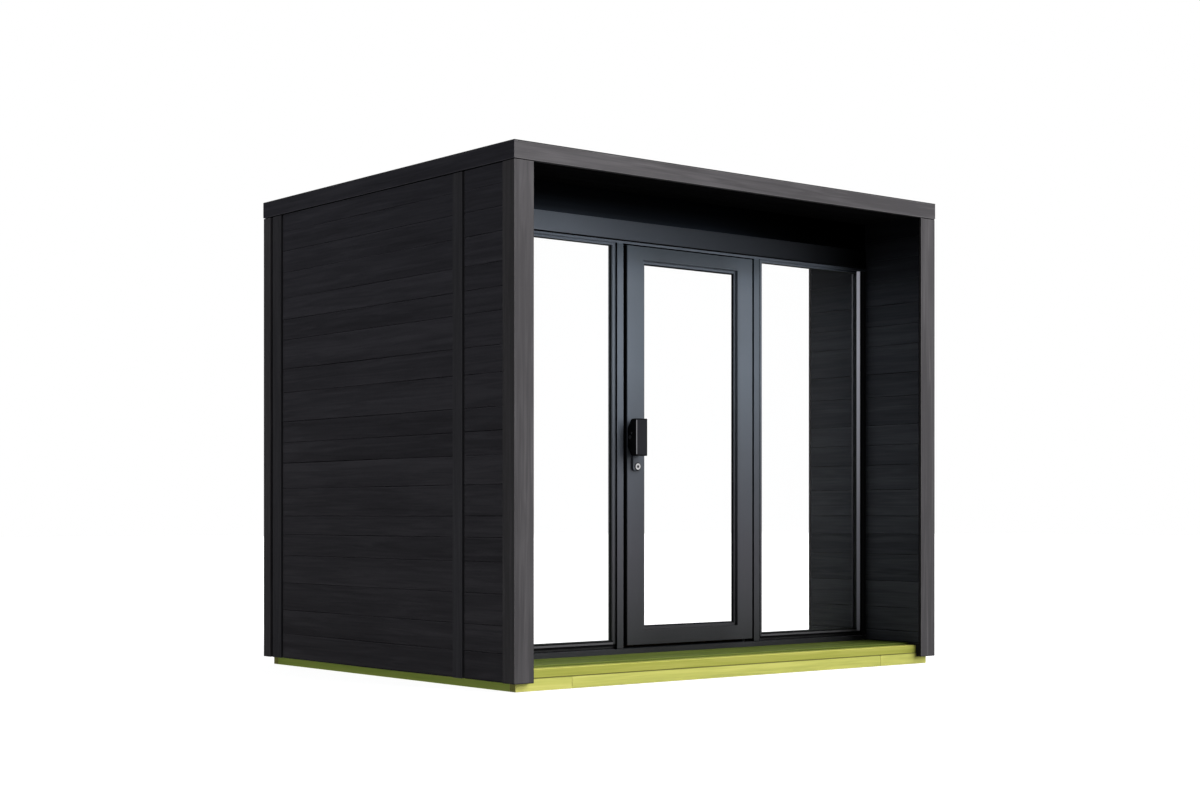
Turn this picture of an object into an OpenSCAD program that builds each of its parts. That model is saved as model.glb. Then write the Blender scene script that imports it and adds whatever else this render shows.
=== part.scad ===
// Outdoor sauna cabin: a flat-roofed dark timber cube on a green timber base,
// with an open porch, a glazed front wall and an outward-opening glazed door.
// Millimetres. The origin is on the ground at the centre of the plan,
// +X runs to the right along the front and +Y runs towards the rear.

/* [Shell] */
// Width over the outer faces of the corner posts
shell_w = 2850; // [2640:10:3600]
// Depth over the outer faces of the corner posts
shell_d = 2280; // [2000:2:3200]
// Height from the ground to the top of the roof edge
height = 2500; // [2440:5:2800]
// Wall thickness, which is also the width of the corner posts
wall_t = 112; // [100:1:150]
// How far the cladding sits back behind the corner posts
reveal = 6; // [2:1:12]
// Thickness of the outer cladding
board_t = 24; // [18:1:30]
// Thickness of the inner lining of the walls
lining_t = 18; // [12:1:24]
// Height of the lower edge of the cladding and posts above the ground
cladding_z = 40; // [20:1:50]

/* [Posts and trims] */
// Depth of the front corner posts
front_post_d = 92; // [60:1:110]
// Depth of the rear corner posts
rear_post_d = 71; // [60:1:110]
// Depth of the plate of a front post that covers the end of the porch lining
post_plate_d = 14; // [10:1:24]
// Joint between a front post and the short porch panel, and behind its plate
post_joint = 4; // [2:1:8]
// Start of the dark side groove in front of the glazing frame
groove_lead = 0; // [0:1:20]
// Width of that groove
groove_w = 18; // [10:1:40]
// Width of the flat upright strip behind that groove
strip_w = 75; // [50:1:110]
// Width of the flat upright beside each rear corner
stile_w = 87; // [50:1:110]
// Dark gap between that upright and the corner post
post_gap = 21; // [8:1:30]
// Dark gap between that upright and the horizontal boards
board_gap = 19; // [8:1:30]
// How far the flat uprights stand proud of the boards
trim_proud = 2; // [0:1:4]
// Chamfer on the upright edges of the corner posts
arris = 2; // [1:0.5:4]

/* [Base and floor] */
// Height of the base frame
base_h = 58; // [51:1:90]
// Thickness of the base frame boards
base_t = 45; // [38:1:60]
// Gap between the base and the back of the side cladding
base_side_gap = 2; // [1:1:20]
// Gap between the base and the back of the rear cladding
base_rear_gap = 26; // [2:1:26]
// Inset of the base behind the face of the front posts
base_front_inset = 35; // [20:1:50]
// Length of the short board at the left end of the base front
left_end_l = 327; // [200:1:600]
// Length of the short board at the right end of the base front
right_end_l = 362; // [200:1:600]
// Joint between two boards that meet end to end
butt_gap = 1.5; // [1:0.5:3]
// Thickness of the base joists
joist_t = 45; // [38:1:60]
// Number of base joists
joist_n = 5; // [3:1:9]
// Thickness of the front deck board
deck_t = 43; // [36:1:50]
// Rise from that board to the deck boards behind it
deck_step = 10; // [0:1:14]
// Number of deck boards behind the front one
deck_n = 4; // [3:1:6]
// Gap between deck boards
deck_gap = 5; // [3:1:8]
// Thickness of the cabin floor
floor_t = 64; // [50:1:75]

/* [Roof] */
// Height of the fascia
fascia_h = 80; // [70:1:110]
// Thickness of the front and side fascias
fascia_t = 30; // [24:1:44]
// How far the fascia stands proud of the posts
fascia_proud = 2; // [0:1:12]
// Shadow gap between the wall tops and the fascia
shadow_gap = 4; // [3:1:12]
// Height of the porch soffit above the lower edge of the fascia
soffit_up = 5; // [2:1:10]
// Thickness of the porch soffit
soffit_t = 12; // [9:1:15]
// Height of the roof kerb above the membrane at the front
kerb_h = 13; // [8:1:20]
// Fall of the roof from front to rear
roof_fall = 20; // [15:1:25]
// Thickness of the roof membrane
membrane_t = 3; // [2:1:5]
// Thickness of the metal roof edge trim
trim_t = 4; // [2:1:5]
// Height of the down-turned front of the rear drip edge
drip_h = 22; // [15:1:30]

/* [Front wall] */
// Depth of the porch, from the post face to the glazing frame
porch_d = 400; // [300:1:700]
// Depth of the glazing frame from front to back
frame_d = 75; // [72:1:90]
// Height of the door sill above the deck
sill_h = 28; // [24:1:40]
// Fall of the sill's nose
sill_nose_drop = 4; // [2:1:8]
// Length of that nose, in front of the door leaf
sill_nose_run = 12; // [6:1:16]
// Height of the dark lintel that shows between the soffit and the header
lintel_h = 145; // [90:1:200]
// Height of the frame head
head_h = 20; // [18:1:26]
// Height of the face strip on the frame head
head_strip_h = 11; // [5:1:13]
// Set-back of the groove above that strip
head_recess = 12; // [6:1:14]
// Height of the flat metal header panel
header_h = 95; // [60:1:100]
// Set-back of the header panel behind the frame
header_back = 2; // [0:1:6]
// Set-back of the dark lintel panel behind the frame
lintel_back = 10; // [4:1:20]
// Thickness of the insulated ceiling panel
ceiling_core_t = 123; // [90:1:160]
// Thickness of the ceiling lining
ceiling_t = 15; // [12:1:20]
// Width of the frame jambs at the walls
jamb_w = 35; // [32:1:50]
// Width of the main face of a jamb
jamb_face = 19; // [12:1:20]
// Width of the two shadow grooves of a jamb
jamb_groove = 5; // [3:1:6]
// Depth of those grooves
jamb_groove_d = 8; // [4:1:12]
// Width of the uprights beside the door
mullion_w = 41; // [35:1:60]

/* [Sidelights] */
// Set-back of the sidelight frames behind the uprights
side_back = 8; // [2:1:12]
// Width of the visible face of a sidelight frame at its sides
side_face = 24; // [15:1:40]
// Height of the bottom face of a sidelight frame
side_foot = 15; // [12:1:60]
// Height of the top face of a sidelight frame
side_head = 12; // [12:1:60]
// Height of the dark recess under the bottom face
foot_recess = 24; // [20:1:35]
// Depth of that recess
foot_recess_d = 12; // [8:1:14]
// Height of the thin nib in the recess
nib_h = 6; // [4:1:8]
// Distance from the sidelight face to its glass
side_glass_back = 17; // [16:1:24]
// Thickness of the glass units
glass_t = 24; // [16:1:26]
// Lap of a glass unit behind its frame
glass_lap = 10; // [8:1:11]
// Clearance round a glass unit
glass_gap = 2; // [1:0.5:4]
// Thickness of the rear glazing beads of the sidelights
side_bead_t = 14; // [8:1:20]

/* [Door] */
// Width of the door opening
door_opening_w = 899; // [760:1:1000]
// Gap between the leaf and the frame at each side
door_side_gap = 18; // [17:1:24]
// Gap over the leaf
door_top_gap = 7; // [6:1:10]
// Gap under the leaf
door_bottom_gap = 15; // [8:1:16]
// Thickness of the door leaf
leaf_t = 64; // [60:1:66]
// How far the leaf stands proud of the frame
leaf_proud = 7; // [0:1:12]
// Width of the door stiles
stile_face = 108; // [90:1:140]
// Height of the top rail
top_rail_h = 68; // [60:1:140]
// Height of the bottom rail
bottom_rail_h = 74; // [66:1:240]
// Distance from the leaf face to the door glass
door_glass_back = 23; // [20:1:32]
// Width of the door glazing beads
bead_w = 17; // [8:1:20]
// Distance from the leaf face to the front bead
bead_back = 14; // [8:1:16]
// Distance from the hinge edge of the leaf to the pivot axis
pivot_inset = 40; // [34:1:50]
// Radius of the pivot pins
pin_r = 8; // [6:0.5:10]
// Radial clearance of a pivot pin in its bush
pin_clear = 0.05; // [0.01:0.01:0.1]
// Length of a pivot pin in the frame
pin_l = 13; // [10:1:13]
// Gap at the end of a pivot pin in its bush
pin_end_gap = 2; // [1:0.5:4]
// Thickness of the door stops
stop_t = 10; // [8:1:10]
// Lap of the door stops behind the leaf
stop_lap = 8; // [5:1:12]

/* [Door furniture] */
// Width of the door pull
pull_w = 74; // [56:1:80]
// Height of the door pull
pull_h = 186; // [140:1:220]
// Distance from the leaf to the front of the pull
pull_out = 71; // [64:1:80]
// Height of the foot of the pull against the leaf
pull_foot_h = 90; // [80:1:120]
// Distance from the leaf to where the ends of the pull begin to taper
pull_taper_out = 30; // [24:1:36]
// Distance from the latch edge of the leaf to the pull
pull_inset = 2; // [1:1:12]
// Height of the middle of the pull above the ground
pull_z = 1193; // [1000:1:1300]
// Thickness of the front grip of the pull
grip_t = 24; // [18:1:28]
// Radius of the grip's corners, seen from the front
grip_r = 9; // [4:1:14]
// Chamfer along the front edges of the grip
grip_chamfer = 6; // [2:1:8]
// Depth of the finger recess in the side of the pull
finger_d = 36; // [28:1:40]
// Height of the finger recess
finger_h = 112; // [90:1:120]
// Wall between the finger recess and the lock plate
finger_wall = 4; // [3:1:6]
// Width of the lock plate
plate_w = 60; // [50:1:70]
// Thickness of the lock plate
plate_t = 12; // [8:1:18]
// Distance from the latch edge of the leaf to the lock plate
plate_inset = 29; // [20:1:32]
// Reach of the lock plate below the pull
plate_drop = 72; // [60:1:90]
// Radius of the plate's lower corners
plate_r = 16; // [8:1:24]
// Radius of the lock cylinder
lock_r = 15; // [9:0.5:16]
// Distance from the lower end of the plate to the cylinder axis
lock_up = 20; // [18:1:30]
// How far the cylinder stands out of the plate
lock_out = 3; // [2:1:6]
// Clearance round the lock cylinder
lock_clear = 0.3; // [0.2:0.1:0.6]

/* [Hidden] */
$fn = 48;

dark_wood = "#2b2a2c";
black_core = "#161617";
green_wood = "#a8b04a";
pale_wood = "#c9a877";
metal_grey = "#4a4e56";
black_metal = "#1b1c1e";

// Plan: half widths and stations measured from the front of the posts
half_w = shell_w / 2;
front_y = -shell_d / 2;
rear_y = shell_d / 2;
skin_x = half_w - reveal;
core_x = skin_x - board_t;
room_x = half_w - wall_t;
lining_x = room_x + lining_t;
frame_y = front_y + porch_d;
frame_back_y = frame_y + frame_d;
post_back_y = front_y + front_post_d;
post_plate_y = front_y + post_plate_d;
rear_post_y = rear_y - rear_post_d;
core_rear_y = rear_y - reveal - board_t;
room_rear_y = rear_y - wall_t;
lining_rear_y = room_rear_y + lining_t;
base_x = core_x - base_side_gap;
base_front_y = front_y + base_front_inset;
base_rear_y = core_rear_y - base_rear_gap;

// Flat uprights beside the grooves
porch_panel_y = frame_y - groove_lead;
strip_y = porch_panel_y + groove_w;
side_stile_y = rear_post_y - post_gap - stile_w;
rear_stile_x = room_x - post_gap - stile_w;

// Heights
deck_z = base_h + deck_t;
porch_z = deck_z + deck_step;
floor_z = base_h + floor_t;
sill_z = porch_z + sill_h;
fascia_z = height - trim_t - fascia_h;
wall_top_z = fascia_z - shadow_gap;
soffit_z = fascia_z + soffit_up;
roof_z = soffit_z + soffit_t;
header_top_z = soffit_z - lintel_h;
header_z = header_top_z - header_h;
head_z = header_z - head_h;
ceiling_z = roof_z - ceiling_core_t - ceiling_t;
roof_front_z = height - trim_t - kerb_h - membrane_t;
roof_rear_z = roof_front_z - roof_fall;

// Roof plan: the fascia boards wrap the roof panel
fascia_x = half_w + fascia_proud;
fascia_front_y = front_y - fascia_proud;
fascia_rear_y = rear_y + fascia_proud;
roof_x = fascia_x - fascia_t;
roof_front_y = fascia_front_y + fascia_t;
roof_rear_y = fascia_rear_y - fascia_t;
rear_fascia_t = fascia_t - trim_t;

// The wall cores neck in where they pass behind the fascias
neck_x = min(core_x, roof_x);
neck_rear_y = min(core_rear_y, roof_rear_y);

// Front wall, measured from the middle of the door
opening_x = door_opening_w / 2;
mullion_x = opening_x + mullion_w;
jamb_x = room_x - jamb_w;
side_in_x = mullion_x + side_face;
side_out_x = jamb_x - side_face;
side_low_z = sill_z + foot_recess + side_foot;
side_y = frame_y + side_back;
side_glass_y = side_y + side_glass_back;
side_high_z = head_z - side_head;

// Door leaf
leaf_x = opening_x - door_side_gap;
leaf_low_z = sill_z + door_bottom_gap;
leaf_high_z = head_z - door_top_gap;
leaf_y = frame_y - leaf_proud;
leaf_back_y = leaf_y + leaf_t;
light_x = leaf_x - stile_face;
light_low_z = leaf_low_z + bottom_rail_h;
light_high_z = leaf_high_z - top_rail_h;
door_glass_y = leaf_y + door_glass_back;
pivot_x = leaf_x - pivot_inset;
pivot_y = leaf_y + leaf_t / 2;

// Door furniture
pull_x = -leaf_x + pull_inset;
pull_high_z = pull_z + pull_h / 2;
pull_low_z = pull_z - pull_h / 2;
grip_y = leaf_y - pull_out + grip_t;
plate_x = -leaf_x + plate_inset;
plate_y = leaf_y - plate_t;
plate_low_z = pull_low_z - plate_drop;
plate_high_z = pull_z + pull_foot_h / 2;
lock_x = plate_x + plate_w / 2;
lock_z = plate_low_z + lock_up;

// ---------------------------------------------------------------- helpers

// A box given by its limits along each axis
module block(x, y, z) {
    translate([x[0], y[0], z[0]])
        cube([x[1] - x[0], y[1] - y[0], z[1] - z[0]]);
}

// The children and their mirror image across the middle of the front
module both_sides() {
    children();
    mirror([1, 0, 0]) children();
}

// A profile in Y and Z, swept along X between two stations
module sweep_x(x) {
    translate([x[0], 0, 0])
        rotate([90, 0, 90])
            linear_extrude(height = x[1] - x[0]) children();
}

// A profile in X and Z, swept along Y between two stations
module sweep_y(y) {
    translate([0, y[1], 0])
        rotate([90, 0, 0])
            linear_extrude(height = y[1] - y[0]) children();
}

// A rectangle in the plane of a profile, given by its limits
module pane(u, v) {
    translate([u[0], v[0]]) square([u[1] - u[0], v[1] - v[0]]);
}

// A rectangle in plan with chamfered corners
module chamfered(x, y) {
    polygon([[x[0] + arris, y[0]], [x[1] - arris, y[0]], [x[1], y[0] + arris],
             [x[1], y[1] - arris], [x[1] - arris, y[1]], [x[0] + arris, y[1]],
             [x[0], y[1] - arris], [x[0], y[0] + arris]]);
}

// A rectangular frame in the plane of the front wall
module ring(x, z, width, y) {
    sweep_y(y) difference() {
        pane(x, z);
        pane([x[0] + width, x[1] - width], [z[0] + width, z[1] - width]);
    }
}

// ------------------------------------------------------------------- base

module base_front_boards() {
    y = [base_front_y, base_front_y + base_t];
    z = [0, base_h];
    left_joint_x = -base_x + left_end_l;
    right_joint_x = base_x - right_end_l;
    color(green_wood) {
        block([-base_x, left_joint_x], y, z);
        block([left_joint_x + butt_gap, right_joint_x - butt_gap], y, z);
        block([right_joint_x, base_x], y, z);
    }
}

module base_side_boards() {
    color(green_wood) both_sides()
        block([base_x - base_t, base_x],
              [base_front_y + base_t, base_rear_y - base_t], [0, base_h]);
}

module base_rear_board() {
    color(green_wood)
        block([-base_x, base_x], [base_rear_y - base_t, base_rear_y], [0, base_h]);
}

module base_joists() {
    bay = 2 * (base_x - base_t) / (joist_n + 1);
    color(green_wood)
        for (i = [1:joist_n])
            let (x = -base_x + base_t + i * bay)
                block([x - joist_t / 2, x + joist_t / 2],
                      [base_front_y + base_t, base_rear_y - base_t], [0, base_h]);
}

module deck_nosing() {
    color(green_wood)
        block([-room_x, room_x], [base_front_y, post_back_y], [base_h, deck_z]);
}

module porch_deck() {
    pitch = (frame_back_y - post_back_y) / deck_n;
    color(green_wood)
        for (i = [1:deck_n])
            let (y = post_back_y + i * pitch)
                block([-lining_x, lining_x], [y - pitch + deck_gap, y], [base_h, porch_z]);
}

module cabin_floor() {
    color(pale_wood)
        block([-lining_x, lining_x], [frame_back_y, lining_rear_y], [base_h, floor_z]);
}

// ------------------------------------------------------------------ walls

// A corner post: it stands on the base, laps down outside it and necks in
// at the top to pass behind the fascia
module corner_post(y, notch_y, neck_y) {
    difference() {
        translate([0, 0, cladding_z]) linear_extrude(height = wall_top_z - cladding_z)
            chamfered([room_x, half_w], y);
        block([room_x - 1, base_x], notch_y, [cladding_z - 1, base_h]);
    }
    block([room_x, roof_x], neck_y, [wall_top_z, roof_z]);
}

// A front post is rebated above the deck for the porch lining
module front_posts() {
    color(dark_wood) both_sides() difference() {
        corner_post([front_y, post_back_y], [base_front_y, post_back_y + 1],
                    [roof_front_y, post_back_y]);
        block([room_x - 1, lining_x], [post_plate_y, post_back_y + 1], [porch_z, roof_z + 1]);
    }
}

module rear_posts() {
    color(dark_wood) both_sides()
        corner_post([rear_post_y, rear_y], [rear_post_y - 1, base_rear_y],
                    [rear_post_y, roof_rear_y]);
}

module side_wall_core() {
    y = [post_back_y, rear_post_y];
    block([lining_x, core_x], y, [base_h, wall_top_z]);
    block([lining_x, neck_x], y, [wall_top_z, roof_z]);
}

module left_wall() {
    color(black_core) mirror([1, 0, 0]) side_wall_core();
}

module right_wall() {
    color(black_core) side_wall_core();
}

module rear_wall() {
    x = [-room_x, room_x];
    color(black_core) {
        block(x, [lining_rear_y, core_rear_y], [base_h, wall_top_z]);
        block(x, [lining_rear_y, neck_rear_y], [wall_top_z, roof_z]);
    }
}

module side_cladding() {
    z = [cladding_z, wall_top_z];
    color(dark_wood) both_sides() {
        block([core_x, skin_x], [post_back_y + post_joint, porch_panel_y], z);
        block([core_x, skin_x], [strip_y + strip_w, side_stile_y - board_gap], z);
    }
}

module side_trims() {
    x = [core_x, skin_x + trim_proud];
    z = [cladding_z, wall_top_z];
    color(dark_wood) both_sides() {
        block(x, [strip_y, strip_y + strip_w], z);
        block(x, [side_stile_y, side_stile_y + stile_w], z);
    }
}

module rear_cladding() {
    x = rear_stile_x - board_gap;
    color(dark_wood)
        block([-x, x], [core_rear_y, core_rear_y + board_t], [cladding_z, wall_top_z]);
}

module rear_trims() {
    color(dark_wood) both_sides()
        block([rear_stile_x, rear_stile_x + stile_w],
              [core_rear_y, core_rear_y + board_t + trim_proud], [cladding_z, wall_top_z]);
}

// A porch lining reaches into the front post and is cut short under the fascia
module porch_linings() {
    lining_y = post_plate_y + post_joint;
    color(dark_wood) both_sides() difference() {
        block([room_x, lining_x], [lining_y, frame_back_y], [porch_z, roof_z]);
        block([room_x - 1, lining_x + 1], [front_y, roof_front_y], [wall_top_z, roof_z + 1]);
    }
}

module porch_soffit() {
    color(black_core)
        block([-room_x, room_x], [roof_front_y, frame_y + lintel_back], [soffit_z, roof_z]);
}

module lintel_panel() {
    color(black_core)
        block([-room_x, room_x], [frame_y + lintel_back, frame_back_y],
              [header_top_z, roof_z]);
}

module side_linings() {
    color(pale_wood) both_sides()
        block([room_x, lining_x], [frame_back_y, rear_post_y], [floor_z, ceiling_z]);
}

module rear_lining() {
    color(pale_wood)
        block([-room_x, room_x], [room_rear_y, lining_rear_y], [floor_z, ceiling_z]);
}

module ceiling_lining() {
    color(pale_wood)
        block([-lining_x, lining_x], [frame_back_y, lining_rear_y],
              [ceiling_z, ceiling_z + ceiling_t]);
}

// ------------------------------------------------------------------- roof

// The roof panel bears on the walls and fills the space over the room's ceiling
module roof_panel() {
    color(black_core) {
        sweep_x([-roof_x, roof_x])
            polygon([[roof_front_y, roof_z], [roof_rear_y, roof_z],
                     [roof_rear_y, roof_rear_z], [roof_front_y, roof_front_z]]);
        block([-lining_x, lining_x], [frame_back_y, lining_rear_y],
              [ceiling_z + ceiling_t, roof_z]);
    }
}

module roof_membrane() {
    end_y = roof_rear_y + rear_fascia_t;
    color(black_core)
        sweep_x([-roof_x, roof_x])
            polygon([[roof_front_y, roof_front_z], [roof_rear_y, roof_rear_z],
                     [end_y, roof_rear_z], [end_y, roof_rear_z + membrane_t],
                     [roof_rear_y, roof_rear_z + membrane_t],
                     [roof_front_y, roof_front_z + membrane_t]]);
}

// The front fascia and the side fascias are mitred at the front corners
module front_fascia_plan() {
    polygon([[-fascia_x, fascia_front_y], [fascia_x, fascia_front_y],
             [roof_x, roof_front_y], [-roof_x, roof_front_y]]);
}

module side_fascia_plan() {
    polygon([[fascia_x, fascia_front_y], [fascia_x, fascia_rear_y],
             [roof_x, fascia_rear_y], [roof_x, roof_front_y]]);
}

module front_fascia() {
    color(dark_wood) translate([0, 0, fascia_z])
        linear_extrude(height = fascia_h) front_fascia_plan();
}

module side_fascias() {
    color(dark_wood) both_sides() translate([0, 0, fascia_z])
        linear_extrude(height = fascia_h) side_fascia_plan();
}

module rear_fascia() {
    color(dark_wood)
        block([-roof_x, roof_x], [roof_rear_y, roof_rear_y + rear_fascia_t],
              [fascia_z, roof_rear_z]);
}

// Metal capping on the three kerbs, and a drip edge over the rear fascia
module roof_edge_trim() {
    color(black_metal) {
        translate([0, 0, height - trim_t]) linear_extrude(height = trim_t) {
            front_fascia_plan();
            both_sides() side_fascia_plan();
        }
        sweep_x([-roof_x, roof_x]) drip_profile();
    }
}

module drip_profile() {
    low_z = roof_rear_z + membrane_t;
    face_y = roof_rear_y + rear_fascia_t;
    polygon([[roof_rear_y, low_z], [face_y, low_z], [face_y, low_z - drip_h],
             [face_y + trim_t, low_z - drip_h], [face_y + trim_t, low_z + trim_t],
             [roof_rear_y, low_z + trim_t]]);
}

// ------------------------------------------------------------- front wall

module header_panel() {
    color(metal_grey)
        block([-room_x, room_x], [frame_y + header_back, frame_back_y],
              [header_z, header_top_z]);
}

// A bush for a pivot pin, bored along Z
module pivot_bore(z) {
    translate([pivot_x, pivot_y, z[0]])
        cylinder(h = z[1] - z[0], r = pin_r + pin_clear);
}

module frame_head() {
    strip_z = head_z + head_strip_h;
    color(metal_grey) difference() {
        sweep_x([-room_x, room_x])
            polygon([[frame_y, head_z], [frame_back_y, head_z], [frame_back_y, header_z],
                     [frame_y + head_recess, header_z], [frame_y + head_recess, strip_z],
                     [frame_y, strip_z]]);
        pivot_bore([head_z - 1, head_z + pin_l + pin_end_gap]);
    }
}

// The sill falls towards its nose, in front of the door leaf
module frame_sill() {
    color(metal_grey) difference() {
        sweep_x([-room_x, room_x])
            polygon([[frame_y, porch_z], [frame_back_y, porch_z], [frame_back_y, sill_z],
                     [frame_y + sill_nose_run, sill_z], [frame_y, sill_z - sill_nose_drop]]);
        pivot_bore([sill_z - pin_l - pin_end_gap, sill_z + 1]);
    }
}

// A jamb has a main face, a shadow groove, a thin strip and a second groove
// where it meets the porch lining
module jamb_plan() {
    cover_w = jamb_w - jamb_face - 2 * jamb_groove;
    groove_y = frame_y + jamb_groove_d;
    u = [jamb_x, jamb_x + jamb_face, jamb_x + jamb_face + jamb_groove,
         jamb_x + jamb_face + jamb_groove + cover_w];
    polygon([[u[0], frame_y], [u[1], frame_y], [u[1], groove_y], [u[2], groove_y],
             [u[2], frame_y], [u[3], frame_y], [u[3], groove_y], [room_x, groove_y],
             [room_x, frame_back_y], [u[0], frame_back_y]]);
}

module frame_jambs() {
    color(dark_wood) both_sides() translate([0, 0, sill_z])
        linear_extrude(height = head_z - sill_z) jamb_plan();
}

module mullions() {
    color(metal_grey) both_sides()
        block([opening_x, mullion_x], [frame_y, frame_back_y], [sill_z, head_z]);
}

// The stops stand behind the leaf at the latch side and the head, and end
// short of the heel of the leaf, which swings inwards past them
module door_stops() {
    lap_x = leaf_x - stop_lap;
    lap_z = leaf_high_z - stop_lap;
    heel_x = pivot_x - leaf_t - pivot_inset;
    color(black_metal) sweep_y([frame_back_y - stop_t, frame_back_y])
        polygon([[-opening_x, sill_z], [-lap_x, sill_z], [-lap_x, lap_z], [heel_x, lap_z],
                 [heel_x, head_z], [-opening_x, head_z]]);
}

// ------------------------------------------------------------- sidelights

// A sidelight frame: a ring with a rebate for the glass at its back and a
// recess with a thin nib across its foot
module sidelight_frames() {
    light_u = [side_in_x, side_out_x];
    light_v = [side_low_z, side_high_z];
    face_z = sill_z + foot_recess;
    nib_z = sill_z + (foot_recess - nib_h) / 2;
    color(metal_grey) both_sides() difference() {
        block([mullion_x, jamb_x], [side_y, frame_back_y], [sill_z, head_z]);
        block(light_u, [side_y - 1, side_glass_y + 1], light_v);
        block([light_u[0] - glass_lap, light_u[1] + glass_lap],
              [side_glass_y, frame_back_y + 1],
              [light_v[0] - glass_lap, light_v[1] + glass_lap]);
        foot_cut([sill_z - 1, nib_z], foot_recess_d);
        foot_cut([nib_z - 1, nib_z + nib_h + 1], foot_recess_d / 2);
        foot_cut([nib_z + nib_h, face_z], foot_recess_d);
    }
}

// One cut across the foot of a sidelight frame
module foot_cut(z, depth) {
    block([mullion_x - 1, jamb_x + 1], [side_y - 1, side_y + depth], z);
}

module sidelight_beads() {
    y = side_glass_y + glass_t;
    color(metal_grey) both_sides()
        ring([side_in_x - glass_lap, side_out_x + glass_lap],
             [side_low_z - glass_lap, side_high_z + glass_lap], glass_lap,
             [y, y + side_bead_t]);
}

module sidelight_glass() {
    lap = glass_lap - glass_gap;
    color("white", 0.5) both_sides()
        block([side_in_x - lap, side_out_x + lap], [side_glass_y, side_glass_y + glass_t],
              [side_low_z - lap, side_high_z + lap]);
}

// ------------------------------------------------------------------- door

module door_stiles() {
    color(metal_grey) both_sides()
        block([light_x, leaf_x], [leaf_y, leaf_back_y], [leaf_low_z, leaf_high_z]);
}

module door_rails() {
    x = [-light_x, light_x];
    y = [leaf_y, leaf_back_y];
    color(metal_grey) {
        block(x, y, [leaf_low_z, light_low_z]);
        block(x, y, [light_high_z, leaf_high_z]);
    }
}

module door_beads() {
    x = [-light_x, light_x];
    z = [light_low_z, light_high_z];
    color(metal_grey) {
        ring(x, z, bead_w, [leaf_y + bead_back, door_glass_y]);
        ring(x, z, bead_w, [door_glass_y + glass_t, leaf_back_y]);
    }
}

module door_glass() {
    color("white", 0.5)
        block([-light_x + glass_gap, light_x - glass_gap], [door_glass_y, door_glass_y + glass_t],
              [light_low_z + glass_gap, light_high_z - glass_gap]);
}

module lock_plate() {
    x = [plate_x, plate_x + plate_w];
    color(metal_grey) difference() {
        sweep_y([plate_y, leaf_y]) union() {
            pane(x, [plate_low_z + plate_r, plate_high_z]);
            pane([x[0] + plate_r, x[1] - plate_r], [plate_low_z, plate_high_z]);
            for (u = [x[0] + plate_r, x[1] - plate_r])
                translate([u, plate_low_z + plate_r]) circle(r = plate_r);
        }
        translate([lock_x, leaf_y + 1, lock_z]) rotate([90, 0, 0])
            cylinder(h = plate_t + 2, r = lock_r + lock_clear);
    }
}

// The pull: a grip with rounded corners and chamfered edges on a body that
// tapers to the leaf, with a finger recess in the side that faces the glass
module door_pull() {
    x = [pull_x, pull_x + pull_w];
    front_y = leaf_y - pull_out;
    color(black_metal) difference() {
        intersection() {
            sweep_x(x) pull_side(front_y);
            translate([0, 0, pull_low_z]) linear_extrude(height = pull_h)
                pull_plan(x, front_y);
            sweep_y([front_y, leaf_y]) pull_face(x);
        }
        block([plate_x, x[1] + 1], [plate_y, leaf_y + 1],
              [pull_low_z - 1, plate_high_z]);
        block([x[1] - finger_d, x[1] + 1], [grip_y, plate_y - finger_wall],
              [pull_z - finger_h / 2, pull_z + finger_h / 2]);
    }
}

// The pull's outline from the side
module pull_side(front_y) {
    taper_y = leaf_y - pull_taper_out;
    half_foot = pull_foot_h / 2;
    polygon([[front_y, pull_low_z], [taper_y, pull_low_z], [leaf_y, pull_z - half_foot],
             [leaf_y, pull_z + half_foot], [taper_y, pull_high_z], [front_y, pull_high_z]]);
}

// The pull's outline from above
module pull_plan(x, front_y) {
    c = grip_chamfer;
    polygon([[x[0] + c, front_y], [x[1] - c, front_y], [x[1], front_y + c],
             [x[1], leaf_y], [x[0], leaf_y], [x[0], front_y + c]]);
}

// The pull's outline from the front
module pull_face(x) {
    pane([x[0] + grip_r, x[1] - grip_r], [pull_low_z, pull_high_z]);
    pane(x, [pull_low_z + grip_r, pull_high_z - grip_r]);
    for (u = [x[0] + grip_r, x[1] - grip_r], v = [pull_low_z + grip_r, pull_high_z - grip_r])
        translate([u, v]) circle(r = grip_r);
}

module lock_cylinder() {
    color("silver") translate([lock_x, leaf_y, lock_z]) rotate([90, 0, 0])
        cylinder(h = plate_t + lock_out, r = lock_r);
}

module door_pivots() {
    color("silver") translate([pivot_x, pivot_y, 0]) {
        translate([0, 0, leaf_high_z])
            cylinder(h = head_z - leaf_high_z + pin_l, r = pin_r);
        translate([0, 0, sill_z - pin_l])
            cylinder(h = leaf_low_z - sill_z + pin_l, r = pin_r);
    }
}

// ------------------------------------------------------------------ nodes

base_front_boards();
base_side_boards();
base_rear_board();
base_joists();
deck_nosing();
porch_deck();
cabin_floor();
front_posts();
rear_posts();
left_wall();
right_wall();
rear_wall();
side_cladding();
side_trims();
rear_cladding();
rear_trims();
porch_linings();
porch_soffit();
lintel_panel();
side_linings();
rear_lining();
ceiling_lining();
roof_panel();
roof_membrane();
front_fascia();
side_fascias();
rear_fascia();
roof_edge_trim();
header_panel();
frame_head();
frame_sill();
frame_jambs();
mullions();
door_stops();
sidelight_frames();
sidelight_beads();
sidelight_glass();
door_stiles();
door_rails();
door_beads();
door_glass();
lock_plate();
door_pull();
lock_cylinder();
door_pivots();
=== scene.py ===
"""Looks of the outdoor sauna cabin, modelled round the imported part.

Every length is in metres. The origin is on the ground in the middle of the plan, +X runs to
the right along the front and +Y runs from the porch to the rear.
"""
import logging
import math
import random
from contextlib import contextmanager
from dataclasses import dataclass
from enum import Enum
from typing import Callable, Iterator, Sequence

import bmesh
import bpy
from mathutils import Matrix, Vector


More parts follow.
